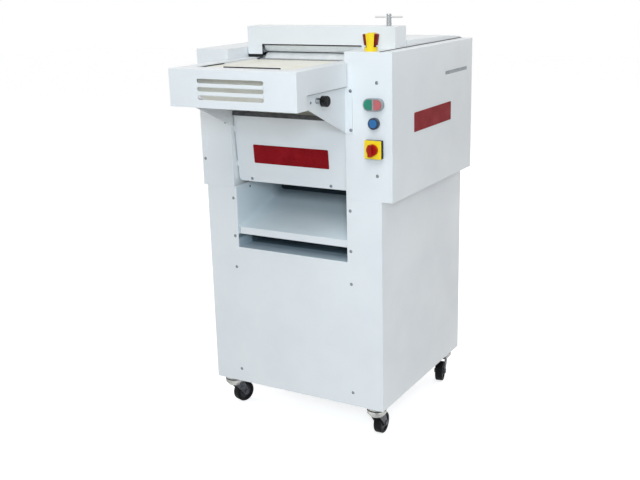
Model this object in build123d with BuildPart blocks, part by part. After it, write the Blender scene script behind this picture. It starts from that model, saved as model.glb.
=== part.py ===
"""Dough moulder: sheet metal cabinet on casters with a moulding head and a felt infeed table.

Millimetres, +Z up, front towards -Y. The origin is on the floor, under the middle of the
overall box, so the casters stand on Z = 0.
"""

import os
from math import acos, atan2, cos, degrees, hypot, pi, radians, sin, sqrt, tan

from build123d import *

os.makedirs("parts", exist_ok=True)

# Overall sizes
HEAD_WIDTH = 603
HEAD_DEPTH = 547
HEAD_HEIGHT = 385
BASE_HEIGHT = 597
BASE_BACK_INSET = 21
RIGHT_OVERHANG = 31
LEFT_OVERHANG = 12
CASTER_HEIGHT = 96
TABLE_REACH = 250

# Sheet and plate
SHEET = 2
FRAME_PLATE = 8
FLOOR_PLATE = 3
COVER_FLANGE = 20
TOP_FLANGE = 36
SEAM = 1

# Boxes beside the dough channel, and the outlet
LEFT_BOX = 105.5
RIGHT_BOX = 135.5
OUTLET_INSET = 6.5
OUTLET_HEIGHT = 176
TRAY_SETBACK = 8
TRAY_LIP = 20
TRAY_LIP_ABOVE_SILL = 59
TRAY_LENGTH = 412
TRAY_SLOPE = 15.5
TRAY_SIDE_GAP = 2.5

# Rollers, belts and shafts
NIP_SETBACK = 130
BELT_DROP = 32
RIM_ABOVE_BELT = 4
BELT_THICK = 3
BELT_GAP = 0.3
ROLLER_RADIUS = 24
ROLLER_ABOVE_BELT = 15.5
ROLLER_NIP = 2
NIP_TRAVEL = 5
GEAR_TEETH = 18
GEAR_WIDTH = 20
GEAR_BACKLASH = 0.5
INFEED_RADIUS = 20
INFEED_TO_NIP = 58
DRUM_RADIUS = 41.7
MOULD_RADIUS = 40
MOULD_HEIGHT = 203
MOULD_LEAD = 10
MOULD_SPAN = 310
MOULD_GAP = 18
BOARD_THICK = 4
BOARD_LEAD = 31
BELT_SIDE_GAP = 11
SHAFT_RADIUS = 10
BUSH_RADIUS = 16
BUSH_LENGTH = 12
RUN_CLEAR = 0.05
END_GAP = 2
SCRAPER_HEIGHT = 28
SCRAPER_GAP = 0.5

# Drive
SPROCKET_TEETH = 12
CHAIN_PITCH = 12.7
CHAIN_WIDTH = 6
CHAIN_PLATE = 1.2
CHAIN_HALF_HEIGHT = 5
CHAIN_PIN_RADIUS = 2
GEAR_TO_CHAIN = 11
CHAIN_SPACING = 14
CHAIN_TO_PULLEY = 11
PULLEY_WIDTH = 18
PULLEY_RADIUS = 100
MOTOR_PULLEY_RADIUS = 30
GROOVE_DEPTH = 12
DRIVE_BELT_WIDTH = 5
DRIVE_BELT_THICK = 7
DRIVE_BELT_GAP = 0.5
MOTOR_RADIUS = 70
MOTOR_LENGTH = 220
MOTOR_FOOT = 12
MOTOR_SHAFT_RADIUS = 12
MOTOR_SHAFT_DEPTH = 30

# Infeed table
TABLE_OVERLAP_LEFT = 7.5
TABLE_OVERLAP_RIGHT = 8.5
BELT_INSET = 45
TABLE_FRONT_HEIGHT = 96
FRONT_RIM = 55
COVER_RETURN = 47
RAIL = 3
SKIRT_HEIGHT = 60
SKIRT_TO_GUSSET = 4
BELT_EDGE_GAP = 2
SLOT_LENGTH = 198
SLOT_HEIGHT = 11
SLOT_PITCH = 20.5
SLOT_TOP_DROP = 29
SLOT_SHIFT = -3
GUSSET_FLANGE = 20
GUSSET_DROP = 85
GUSSET_RUN = 190

# Hood, yoke and T-handle
HOOD_DEPTH = 66
HOOD_HEIGHT = 57
HOOD_RIGHT_INSET = 37
HOOD_LEFT_INSET = 2.5
HOOD_CLEARANCE = 8
HOOD_LEG_WIDTH = 47
HOOD_FOOT_HEIGHT = 8
YOKE_BAR = 16
YOKE_BAR_HEIGHT = 9
YOKE_ARM = 6
YOKE_ARM_WIDTH = 30
YOKE_ABOVE_ROLLER = 4.5
JOURNAL_RADIUS = 9
HANDLE_RIGHT_INSET = 34
HANDLE_POST_RADIUS = 7.5
HANDLE_POST_HEIGHT = 31
HANDLE_SCREW_RADIUS = 4
HANDLE_BAR_RADIUS = 2.75
HANDLE_BAR_LENGTH = 80
HANDLE_BAR_DROP = 8
HANDLE_GAP = 0.2

# Rear lid and front panel
LID_SETBACK = 170
LID_HEIGHT = 18
LID_FLAT = 254
LID_FALL = 4
LID_BACK_HEIGHT = 4
LID_LEFT_MARGIN = 62
LID_RIGHT_MARGIN = 37
PANEL_TOP_SETBACK = 8
PANEL_FOOT_SETBACK = 26
PANEL_FOOT_HEIGHT = 16
PANEL_HEIGHT = 199
PANEL_CORNER = 12
PANEL_GAP_LEFT = 3
PANEL_EAR = 15

# Controls on the right box
CONTROL_INSET = 49
START_STOP_HEIGHT = 254.5
BEZEL_WIDTH = 56
BEZEL_TALL = 32
BEZEL_DEPTH = 13
BEZEL_WALL = 3
BUTTON_BRIDGE = 5
BUTTON_GAP = 0.3
BUTTON_PROUD = 1.5
BUTTON_DEPTH = 9
RESET_HEIGHT = 206
RESET_RING_RADIUS = 15
RESET_CAP_RADIUS = 11
RESET_DEPTH = 11
SWITCH_HEIGHT = 139.5
SWITCH_PLATE = 48
SWITCH_DEPTH = 13
KNOB_RADIUS = 15
KNOB_DISC = 8
KNOB_GRIP_WIDTH = 10
KNOB_GRIP_DEPTH = 14
KNOB_STEM_RADIUS = 5
ESTOP_INSET = 73
ESTOP_SETBACK = 30
ESTOP_HEIGHT = 45
ESTOP_FOOT_RADIUS = 16
ESTOP_TOP_RADIUS = 22.5
ESTOP_WALL = 2
ESTOP_BASE = 4
ESTOP_BUTTON_GAP = 2.2
ESTOP_BUTTON_LIFT = 10
ESTOP_BUTTON_BELOW_RIM = 2
ESTOP_STEM_RADIUS = 6
ESTOP_WINDOW_WIDTH = 32
VENT_LENGTH = 163
VENT_HEIGHT = 10
VENT_DROP = 84
VENT_BACK_INSET = 121.5

# Clamp knob under the table's right skirt
CLAMP_SETBACK = 148
CLAMP_DROP = 79
CLAMP_BOLT_RADIUS = 5
CLAMP_COLLAR_RADIUS = 7.5
CLAMP_COLLAR_LENGTH = 16
CLAMP_HEAD_RADIUS = 13.5
CLAMP_HEAD_LENGTH = 17

# Casters
CASTER_SIDE_INSET = 37
CASTER_FRONT_SETBACK = 34
CASTER_BACK_SETBACK = 506
CASTER_TRAIL = 31
WHEEL_RADIUS = 31
WHEEL_WIDTH = 23
WHEEL_SIDE_GAP = 1.2
FORK_ARM = 3
FORK_FOOT_RADIUS = 9
SWIVEL_RADIUS = 28
SWIVEL_HEIGHT = 20
SWIVEL_RACE_HEIGHT = 4
SWIVEL_RACE_DEPTH = 3
SWIVEL_RING_HEIGHT = 9
CROWN_RADIUS = 20
CROWN_HEIGHT = 10
SWIVEL_GAP = 0.3
STEM_RADIUS = 6
SOCKET_RADIUS = 14
SOCKET_HEIGHT = 20
AXLE_RADIUS = 4
AXLE_HEAD_RADIUS = 7
AXLE_HEAD = 2.5

# Screws and cable gland
SCREW_RADIUS = 4.5
SCREW_HEIGHT = 2.2
GLAND_FROM_LEFT = 120
GLAND_HEIGHT = 120
GLAND_BORE_RADIUS = 5
GLAND_BODY_RADIUS = 10
GLAND_NUT_RADIUS = 14
GLAND_NUT = 6
GLAND_NOSE = 13

# Planes of the cabinet
X_RIGHT = HEAD_WIDTH / 2
X_LEFT = -X_RIGHT
BASE_RIGHT = X_RIGHT - RIGHT_OVERHANG
BASE_LEFT = X_LEFT + LEFT_OVERHANG
Y_FRONT = TABLE_REACH - (HEAD_DEPTH + TABLE_REACH) / 2
Y_BACK = Y_FRONT + HEAD_DEPTH
Y_TABLE = Y_FRONT - TABLE_REACH
Y_BASE_BACK = Y_BACK - BASE_BACK_INSET
Z_BASE = CASTER_HEIGHT
Z_HEAD = Z_BASE + BASE_HEIGHT
Z_DECK = Z_HEAD + FLOOR_PLATE
Z_TOP = Z_HEAD + HEAD_HEIGHT
CHANNEL_LEFT = X_LEFT + LEFT_BOX
CHANNEL_RIGHT = X_RIGHT - RIGHT_BOX
OUTLET_RIGHT = CHANNEL_RIGHT
OUTLET_LEFT = CHANNEL_LEFT + OUTLET_INSET
Z_SILL = Z_HEAD - OUTLET_HEIGHT

# Lines of the rollers and shafts
Z_BELT = Z_TOP - BELT_DROP
Z_RIM = Z_BELT + RIM_ABOVE_BELT
Y_NIP = Y_FRONT + NIP_SETBACK
Z_LOWER = Z_BELT + ROLLER_ABOVE_BELT - ROLLER_RADIUS
Z_UPPER = Z_LOWER + 2 * ROLLER_RADIUS + ROLLER_NIP
Z_INFEED = Z_BELT - BELT_THICK - BELT_GAP - INFEED_RADIUS
INFEED_OUTER = INFEED_RADIUS + BELT_GAP + BELT_THICK
DRUM_OUTER = DRUM_RADIUS + BELT_GAP + BELT_THICK
Y_DRUM = Y_TABLE + FRONT_RIM + BELT_EDGE_GAP + DRUM_OUTER
Z_DRUM = Z_BELT - DRUM_OUTER
Y_INFEED_REAR = Y_NIP - INFEED_TO_NIP
Y_MOULD_FRONT = Y_NIP - MOULD_LEAD
Y_MOULD_REAR = Y_MOULD_FRONT + MOULD_SPAN
Z_MOULD = Z_HEAD + MOULD_HEIGHT
MOULD_OUTER = MOULD_RADIUS + BELT_GAP + BELT_THICK
LOWER = (Y_NIP, Z_LOWER)
UPPER = (Y_NIP, Z_UPPER)
DRUM = (Y_DRUM, Z_DRUM)
INFEED_REAR = (Y_INFEED_REAR, Z_INFEED)
MOULD_FRONT = (Y_MOULD_FRONT, Z_MOULD)
MOULD_REAR = (Y_MOULD_REAR, Z_MOULD)
MOTOR = (Y_MOULD_REAR, Z_BASE + FLOOR_PLATE + MOTOR_FOOT + MOTOR_RADIUS)
GEAR_X = CHANNEL_RIGHT + FRAME_PLATE + YOKE_ARM + END_GAP
CHAIN_ONE_X = GEAR_X + GEAR_WIDTH + GEAR_TO_CHAIN
CHAIN_TWO_X = CHAIN_ONE_X + CHAIN_SPACING
PULLEY_X = CHAIN_TWO_X + CHAIN_TO_PULLEY
SPROCKET_RADIUS = CHAIN_PITCH / (2 * sin(pi / SPROCKET_TEETH))

# Lines of the infeed table
TABLE_RIGHT = CHANNEL_RIGHT + TABLE_OVERLAP_RIGHT
TABLE_LEFT = CHANNEL_LEFT - TABLE_OVERLAP_LEFT
TABLE_WIDTH = TABLE_RIGHT - TABLE_LEFT
TABLE_MID = (TABLE_LEFT + TABLE_RIGHT) / 2
Z_TABLE = Z_RIM - TABLE_FRONT_HEIGHT
Y_RIM = Y_TABLE + FRONT_RIM
RAIL_INNER = TABLE_WIDTH / 2 - SHEET - SKIRT_TO_GUSSET - 2 * RAIL
BELT_LEFT = TABLE_LEFT + BELT_INSET
BELT_RIGHT = TABLE_RIGHT - BELT_INSET
Z_SKIRT = Z_RIM - SKIRT_HEIGHT

# Lines of the hood
Y_HOOD_FRONT = Y_NIP - HOOD_DEPTH / 2
Y_HOOD_BACK = Y_NIP + HOOD_DEPTH / 2
HOOD_RIGHT = X_RIGHT - HOOD_RIGHT_INSET
HOOD_LEFT = CHANNEL_LEFT + HOOD_LEFT_INSET
Z_HOOD_TOP = Z_TOP + HOOD_HEIGHT
Z_HOOD_EDGE = Z_TOP + HOOD_CLEARANCE
LEG_RIGHT = HOOD_LEFT + HOOD_LEG_WIDTH
X_HANDLE = HOOD_RIGHT - HANDLE_RIGHT_INSET
Z_YOKE = Z_UPPER + ROLLER_RADIUS + YOKE_ABOVE_ROLLER
FLANGE_EDGE = X_RIGHT - TOP_FLANGE

# Places of the controls
X_CONTROL = X_RIGHT - CONTROL_INSET
Z_START_STOP = Z_HEAD + START_STOP_HEIGHT
Z_RESET = Z_HEAD + RESET_HEIGHT
Z_SWITCH = Z_HEAD + SWITCH_HEIGHT
X_ESTOP = X_RIGHT - ESTOP_INSET
Y_ESTOP = Y_FRONT + ESTOP_SETBACK
Y_CLAMP = Y_FRONT - CLAMP_SETBACK
Z_CLAMP = Z_RIM - CLAMP_DROP
X_GLAND = BASE_LEFT + GLAND_FROM_LEFT
Z_GLAND = Z_BASE + GLAND_HEIGHT

# Casters: swivel axis and the direction in which the wheel trails, in degrees from +X
CASTERS = {
    "front_right": (BASE_RIGHT - CASTER_SIDE_INSET, Y_FRONT + CASTER_FRONT_SETBACK, 92),
    "front_left": (BASE_LEFT + CASTER_SIDE_INSET, Y_FRONT + CASTER_FRONT_SETBACK, 72),
    "back_right": (BASE_RIGHT - CASTER_SIDE_INSET, Y_FRONT + CASTER_BACK_SETBACK, 282),
    "back_left": (BASE_LEFT + CASTER_SIDE_INSET, Y_FRONT + CASTER_BACK_SETBACK, 262),
}


def block(x, y, z, mode=Mode.ADD):
    """Box between two limits on each axis."""
    centre = ((x[0] + x[1]) / 2, (y[0] + y[1]) / 2, (z[0] + z[1]) / 2)
    with Locations(centre):
        Box(abs(x[1] - x[0]), abs(y[1] - y[0]), abs(z[1] - z[0]), mode=mode)


def rod_x(x, centre, radius, mode=Mode.ADD):
    """Cylinder along X between two limits; centre is (y, z)."""
    with Locations(Location(((x[0] + x[1]) / 2, *centre), (0, 90, 0))):
        Cylinder(radius, x[1] - x[0], mode=mode)


def rod_y(y, centre, radius, mode=Mode.ADD):
    """Cylinder along Y between two limits; centre is (x, z)."""
    with Locations(Location((centre[0], (y[0] + y[1]) / 2, centre[1]), (90, 0, 0))):
        Cylinder(radius, y[1] - y[0], mode=mode)


def rod_z(z, centre, radius, mode=Mode.ADD):
    """Cylinder along Z between two limits; centre is (x, y)."""
    with Locations((*centre, (z[0] + z[1]) / 2)):
        Cylinder(radius, z[1] - z[0], mode=mode)


def profile_x(x, points, mode=Mode.ADD):
    """Polygon of (y, z) points, extruded along X between two limits."""
    with BuildSketch(Plane.YZ.offset(x[0])) as outline:
        with BuildLine():
            Polyline(*points, close=True)
        make_face()
    extrude(outline.sketch, amount=x[1] - x[0], mode=mode)


def loop_x(x, circles, mode=Mode.ADD):
    """Taut outline round two circles ((y, z), radius), extruded along X."""
    with BuildSketch(Plane.YZ.offset(x[0])) as outline:
        for centre, radius in circles:
            with BuildLine():
                CenterArc(centre, radius, 0, 360)
        make_hull()
    extrude(outline.sketch, amount=x[1] - x[0], mode=mode)


def belt_loop(x, ends, inner, thick):
    """Flat belt round two (y, z) centres; inner holds its inside radius at each."""
    loop_x(x, [(c, r + thick) for c, r in zip(ends, inner)])
    loop_x(x, [(c, r) for c, r in zip(ends, inner)], mode=Mode.SUBTRACT)


def toothed_disc(x, centre, radii_and_angles, teeth, phase):
    """Disc with teeth; one tooth is a list of (radius, half angle) from root to tip."""
    points = []
    for tooth in range(teeth):
        middle = phase + 2 * pi * tooth / teeth
        rising = [(radius, middle - half) for radius, half in radii_and_angles]
        falling = [(radius, middle + half) for radius, half in reversed(radii_and_angles)]
        for radius, angle in rising + falling:
            points.append((centre[0] + radius * cos(angle), centre[1] + radius * sin(angle)))
    profile_x(x, points)


def involute(angle):
    return tan(angle) - angle


def gear_tooth(teeth, module, backlash):
    """Involute tooth of 20 degrees as (radius, half angle) from root to tip."""
    pitch = teeth * module / 2
    base = pitch * cos(radians(20))
    tip = pitch + module
    half_at_pitch = pi / (2 * teeth) - backlash / (2 * pitch)
    half_at_base = half_at_pitch + involute(radians(20))
    tooth = [(pitch - 1.25 * module, half_at_base)]
    steps = 4
    for step in range(steps + 1):
        radius = base + (tip - base) * step / steps
        tooth.append((radius, half_at_base - involute(acos(base / radius))))
    return tooth


def sprocket_tooth():
    pitch_angle = 2 * pi / SPROCKET_TEETH
    root = SPROCKET_RADIUS - CHAIN_HALF_HEIGHT + 1
    tip = SPROCKET_RADIUS + CHAIN_HALF_HEIGHT / 2
    return [(root, 0.32 * pitch_angle), (tip, 0.12 * pitch_angle)]


def sprocket(middle, centre):
    """Sprocket with a short hub, bored for its shaft."""
    half = CHAIN_WIDTH / 2
    toothed_disc((middle - half, middle + half), centre, sprocket_tooth(), SPROCKET_TEETH, 0)
    rod_x((middle - half, middle + half), centre, SHAFT_RADIUS, mode=Mode.SUBTRACT)


def keep(builder, name):
    """Label the finished piece and write its STEP file."""
    builder.part.label = name
    export_step(builder.part, f"parts/{name}.step")


# Base cabinet
with BuildPart() as base_side_panels:
    for x in ((BASE_LEFT, BASE_LEFT + SHEET), (BASE_RIGHT - SHEET, BASE_RIGHT)):
        block(x, (Y_FRONT + SHEET, Y_BACK - 1), (Z_BASE, Z_HEAD))
keep(base_side_panels, "base_side_panels")

with BuildPart() as base_front_panel:
    block((BASE_LEFT, BASE_RIGHT), (Y_FRONT, Y_FRONT + SHEET), (Z_BASE, Z_HEAD))
    block((OUTLET_LEFT, OUTLET_RIGHT), (Y_FRONT, Y_FRONT + SHEET), (Z_SILL, Z_HEAD), mode=Mode.SUBTRACT)
keep(base_front_panel, "base_front_panel")

with BuildPart() as back_panels:
    block((BASE_LEFT + SHEET, BASE_RIGHT - SHEET), (Y_BASE_BACK - SHEET, Y_BASE_BACK), (Z_BASE, Z_HEAD))
    rod_y((Y_BASE_BACK - SHEET, Y_BASE_BACK), (X_GLAND, Z_GLAND), GLAND_BODY_RADIUS, mode=Mode.SUBTRACT)
    inner = (X_LEFT + COVER_FLANGE, X_RIGHT - COVER_FLANGE)
    block(inner, (Y_BACK - SHEET, Y_BACK), (Z_HEAD, Z_TOP))
keep(back_panels, "back_panels")

with BuildPart() as base_floor:
    floor_y = (Y_FRONT + SHEET, Y_BASE_BACK - SHEET)
    block((BASE_LEFT + SHEET, BASE_RIGHT - SHEET), floor_y, (Z_BASE, Z_BASE + FLOOR_PLATE))
    for x, y, _ in CASTERS.values():
        rod_z((Z_BASE + FLOOR_PLATE, Z_BASE + SOCKET_HEIGHT), (x, y), SOCKET_RADIUS)
    for x, y, _ in CASTERS.values():
        rod_z((Z_BASE, Z_BASE + SOCKET_HEIGHT), (x, y), STEM_RADIUS + RUN_CLEAR, mode=Mode.SUBTRACT)
keep(base_floor, "base_floor")

with BuildPart() as outlet_liner:
    liner_y = (Y_FRONT + SHEET, Y_BASE_BACK - SHEET)
    block((OUTLET_LEFT - SHEET, OUTLET_RIGHT + SHEET), liner_y, (Z_SILL - SHEET, Z_SILL))
    block((OUTLET_LEFT - SHEET, OUTLET_LEFT), liner_y, (Z_SILL, Z_HEAD))
    block((OUTLET_RIGHT, OUTLET_RIGHT + SHEET), liner_y, (Z_SILL, Z_HEAD))
keep(outlet_liner, "outlet_liner")

# Inclined tray with its lip turned down at the front
Y_TRAY = Y_FRONT + TRAY_SETBACK
Z_LIP = Z_SILL + TRAY_LIP_ABOVE_SILL
TRAY_RISE = TRAY_LENGTH * tan(radians(TRAY_SLOPE))
with BuildPart() as outlet_tray:
    tray_x = (OUTLET_LEFT + TRAY_SIDE_GAP, OUTLET_RIGHT - TRAY_SIDE_GAP)
    profile_x(
        tray_x,
        [
            (Y_TRAY, Z_LIP - TRAY_LIP),
            (Y_TRAY, Z_LIP),
            (Y_TRAY + TRAY_LENGTH, Z_LIP + TRAY_RISE),
            (Y_TRAY + TRAY_LENGTH, Z_LIP + TRAY_RISE - SHEET),
            (Y_TRAY + SHEET, Z_LIP - SHEET),
            (Y_TRAY + SHEET, Z_LIP - TRAY_LIP),
        ],
    )
    # Two ears carry the tray on the liner's walls
    ear_y = (Y_TRAY + TRAY_LENGTH / 2, Y_TRAY + TRAY_LENGTH / 2 + COVER_FLANGE)
    ear_z = Z_LIP + TRAY_RISE / 2 - SHEET
    for x in ((OUTLET_LEFT, tray_x[0] + SHEET), (tray_x[1] - SHEET, OUTLET_RIGHT)):
        block(x, ear_y, (ear_z, ear_z + SHEET))
keep(outlet_tray, "outlet_tray")

# Head: floor, frame plates, covers
with BuildPart() as head_floor_plates:
    plate_y = (Y_FRONT + SHEET, Y_BACK - SHEET)
    block((X_LEFT + SHEET, OUTLET_LEFT), plate_y, (Z_HEAD, Z_DECK))
    block((OUTLET_RIGHT, X_RIGHT - SHEET), plate_y, (Z_HEAD, Z_DECK))
    belt_y = (Y_MOULD_REAR - PULLEY_RADIUS, Y_MOULD_REAR + PULLEY_RADIUS)
    belt_x = (PULLEY_X - CHAIN_WIDTH, PULLEY_X + PULLEY_WIDTH + CHAIN_WIDTH)
    block(belt_x, belt_y, (Z_HEAD, Z_DECK), mode=Mode.SUBTRACT)
keep(head_floor_plates, "head_floor_plates")

with BuildPart() as frame_plates:
    plate_z = (Z_DECK, Z_TOP - SHEET)
    left_plate = (CHANNEL_LEFT - FRAME_PLATE, CHANNEL_LEFT)
    right_plate = (CHANNEL_RIGHT, CHANNEL_RIGHT + FRAME_PLATE)
    for plate in (left_plate, right_plate):
        block(plate, plate_y, plate_z)
        for shaft in (LOWER, INFEED_REAR, MOULD_FRONT, MOULD_REAR):
            rod_x(plate, shaft, BUSH_RADIUS, mode=Mode.SUBTRACT)
keep(frame_plates, "frame_plates")

with BuildPart() as shaft_bushes:
    bush_left = (CHANNEL_LEFT - BUSH_LENGTH, CHANNEL_LEFT)
    bush_right = (CHANNEL_RIGHT, CHANNEL_RIGHT + BUSH_LENGTH)
    for bush in (bush_left, bush_right):
        for shaft in (LOWER, INFEED_REAR, MOULD_FRONT, MOULD_REAR):
            rod_x(bush, shaft, BUSH_RADIUS)
            rod_x(bush, shaft, SHAFT_RADIUS + RUN_CLEAR, mode=Mode.SUBTRACT)
keep(shaft_bushes, "shaft_bushes")

with BuildPart() as left_side_cover:
    block((X_LEFT, X_LEFT + SHEET), (Y_FRONT, Y_BACK), (Z_HEAD, Z_TOP))
    flange_x = (X_LEFT + SHEET, X_LEFT + COVER_FLANGE)
    block(flange_x, (Y_FRONT, Y_FRONT + SHEET), (Z_HEAD, Z_TOP))
    block(flange_x, (Y_BACK - SHEET, Y_BACK), (Z_HEAD, Z_TOP))
keep(left_side_cover, "left_side_cover")

with BuildPart() as left_front_cover:
    block((X_LEFT + COVER_FLANGE, CHANNEL_LEFT), (Y_FRONT, Y_FRONT + SHEET), (Z_HEAD, Z_TOP))
keep(left_front_cover, "left_front_cover")

with BuildPart() as control_panel:
    block((CHANNEL_RIGHT, X_RIGHT), (Y_FRONT, Y_FRONT + SHEET), (Z_HEAD, Z_TOP))
    stem_hole = KNOB_STEM_RADIUS + END_GAP
    rod_y((Y_FRONT, Y_FRONT + SHEET), (X_CONTROL, Z_SWITCH), stem_hole, mode=Mode.SUBTRACT)
keep(control_panel, "control_panel")

with BuildPart() as right_side_cover:
    block((X_RIGHT - SHEET, X_RIGHT), (Y_FRONT + SHEET, Y_BACK), (Z_HEAD, Z_TOP))
    block((FLANGE_EDGE, X_RIGHT), (Y_FRONT + SHEET, Y_BACK - SHEET), (Z_TOP - SHEET, Z_TOP))
    block((X_RIGHT - COVER_FLANGE, X_RIGHT), (Y_BACK - SHEET, Y_BACK), (Z_HEAD, Z_TOP))
    with BuildSketch(Plane.YZ.offset(X_RIGHT - SHEET)):
        with Locations((Y_BACK - VENT_BACK_INSET, Z_TOP - VENT_DROP)):
            SlotOverall(VENT_LENGTH, VENT_HEIGHT)
    extrude(amount=SHEET, mode=Mode.SUBTRACT)
keep(right_side_cover, "right_side_cover")

with BuildPart() as top_plates:
    top_z = (Z_TOP - SHEET, Z_TOP)
    block((X_LEFT + SHEET, CHANNEL_LEFT), plate_y, top_z)
    block((CHANNEL_RIGHT, FLANGE_EDGE - SEAM), plate_y, top_z)
    ledge = SHEET + SEAM
    well_x = (CHANNEL_RIGHT, HOOD_RIGHT - ledge)
    block(well_x, (Y_HOOD_FRONT + ledge, Y_HOOD_BACK - ledge), top_z, mode=Mode.SUBTRACT)
    rod_z(top_z, (X_ESTOP, Y_ESTOP), ESTOP_STEM_RADIUS + END_GAP, mode=Mode.SUBTRACT)
keep(top_plates, "top_plates")

# Raised lid behind the hood, its top falling in a bow towards the back
Y_LID = Y_FRONT + LID_SETBACK
LID_SIDES = (X_LEFT + LID_LEFT_MARGIN, X_RIGHT - LID_RIGHT_MARGIN)
with BuildPart() as rear_lid:
    with BuildSketch(Plane.YZ.offset(LID_SIDES[0])):
        with BuildLine():
            front = Line((Y_LID, Z_TOP), (Y_LID, Z_TOP + LID_HEIGHT))
            flat_end = (Y_LID + LID_FLAT, Z_TOP + LID_HEIGHT - LID_FALL)
            flat = Line(front @ 1, flat_end)
            bow_end = (Y_BACK - SHEET, Z_TOP + LID_BACK_HEIGHT)
            bow = TangentArc(flat @ 1, bow_end, tangent=flat % 1)
            back = Line(bow @ 1, (Y_BACK - SHEET, Z_TOP))
            Line(back @ 1, front @ 0)
        make_face()
    extrude(amount=LID_SIDES[1] - LID_SIDES[0])
    underside = rear_lid.faces().sort_by(Axis.Z)[0]
    offset(amount=-SHEET, openings=underside)
keep(rear_lid, "rear_lid")

# Recessed front panel, leaning back towards its foot
Z_PANEL = Z_HEAD + PANEL_FOOT_HEIGHT
PANEL_LEAN = degrees(atan2(PANEL_FOOT_SETBACK - PANEL_TOP_SETBACK, PANEL_HEIGHT))
PANEL_X = (CHANNEL_LEFT + PANEL_GAP_LEFT, CHANNEL_RIGHT)
PANEL_PLANE = Plane(
    origin=((PANEL_X[0] + PANEL_X[1]) / 2, Y_FRONT + PANEL_FOOT_SETBACK, Z_PANEL),
    x_dir=(1, 0, 0),
    z_dir=(0, -cos(radians(PANEL_LEAN)), -sin(radians(PANEL_LEAN))),
)
with BuildPart() as front_panel:
    with BuildSketch(PANEL_PLANE):
        with Locations((0, PANEL_HEIGHT / 2)):
            Rectangle(PANEL_X[1] - PANEL_X[0], PANEL_HEIGHT)
    extrude(amount=-SHEET)
    lower_corners = front_panel.edges().filter_by(lambda edge: abs(edge.length - SHEET) < 0.01)
    fillet(lower_corners.sort_by(Axis.Z)[:2], PANEL_CORNER)
    # Ears on the left edge reach the frame plate across the gap
    panel_width = PANEL_X[1] - PANEL_X[0]
    with BuildSketch(PANEL_PLANE):
        for height in (PANEL_HEIGHT / 4, PANEL_HEIGHT * 3 / 4):
            with Locations((-panel_width / 2 - PANEL_GAP_LEFT / 2, height)):
                Rectangle(PANEL_GAP_LEFT, PANEL_EAR)
    extrude(amount=-SHEET)
keep(front_panel, "front_panel")

# Infeed table
with BuildPart() as infeed_cover:
    cover_z = (Z_TABLE, Z_RIM)
    block((TABLE_LEFT, TABLE_RIGHT), (Y_TABLE, Y_TABLE + SHEET), cover_z)
    for x in ((TABLE_LEFT, TABLE_LEFT + SHEET), (TABLE_RIGHT - SHEET, TABLE_RIGHT)):
        block(x, (Y_TABLE, Y_TABLE + COVER_RETURN), cover_z)
    block((TABLE_LEFT, TABLE_RIGHT), (Y_TABLE, Y_TABLE + COVER_RETURN), (Z_RIM - SHEET, Z_RIM))
    inner = (TABLE_LEFT + COVER_FLANGE, TABLE_RIGHT - COVER_FLANGE)
    block(inner, (Y_TABLE + COVER_RETURN, Y_RIM), (Z_RIM - SHEET, Z_RIM))
    slot_plane = Plane.XZ.offset(-Y_TABLE - SHEET)
    with BuildSketch(slot_plane):
        for row in range(3):
            with Locations((TABLE_MID + SLOT_SHIFT, Z_RIM - SLOT_TOP_DROP - row * SLOT_PITCH)):
                SlotOverall(SLOT_LENGTH, SLOT_HEIGHT)
    extrude(amount=SHEET, mode=Mode.SUBTRACT)
keep(infeed_cover, "infeed_cover")

# Side rails: an inner web, the rim on top and a skirt outside
Y_RAIL = Y_TABLE + COVER_RETURN
Y_WEB = Y_NIP - ROLLER_RADIUS - BUSH_LENGTH / 2
with BuildPart() as infeed_rails:
    for side in (-1, 1):
        web_inner = TABLE_MID + side * RAIL_INNER
        web_outer = TABLE_MID + side * (RAIL_INNER + RAIL)
        edge = TABLE_MID + side * TABLE_WIDTH / 2
        rim_inner = edge - side * (BELT_INSET - BELT_EDGE_GAP)
        rim_outer = max(CHANNEL_LEFT + SEAM, min(CHANNEL_RIGHT - SEAM, edge))
        rim_end = Y_HOOD_BACK if side < 0 else Y_WEB
        block((web_inner, web_outer), (Y_RAIL, Y_WEB), (Z_TABLE, Z_RIM - SHEET))
        block((rim_inner, edge), (Y_RIM, Y_FRONT - RAIL), (Z_RIM - SHEET, Z_RIM))
        block((rim_inner, rim_outer), (Y_FRONT - RAIL, rim_end), (Z_RIM - SHEET, Z_RIM))
        block((edge - side * COVER_FLANGE, edge), (Y_RAIL, Y_RIM), (Z_RIM - SHEET, Z_RIM))
        block((edge - side * SHEET, edge), (Y_RAIL, Y_FRONT - RAIL), (Z_SKIRT, Z_RIM - SHEET))
        web = (min(web_inner, web_outer), max(web_inner, web_outer))
        rod_x(web, DRUM, SHAFT_RADIUS + RUN_CLEAR, mode=Mode.SUBTRACT)
        rod_x(web, INFEED_REAR, BUSH_RADIUS + END_GAP, mode=Mode.SUBTRACT)
        if side > 0:
            rod_x(web, (Y_CLAMP, Z_CLAMP), CLAMP_BOLT_RADIUS + RUN_CLEAR, mode=Mode.SUBTRACT)
keep(infeed_rails, "infeed_rails")

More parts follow.
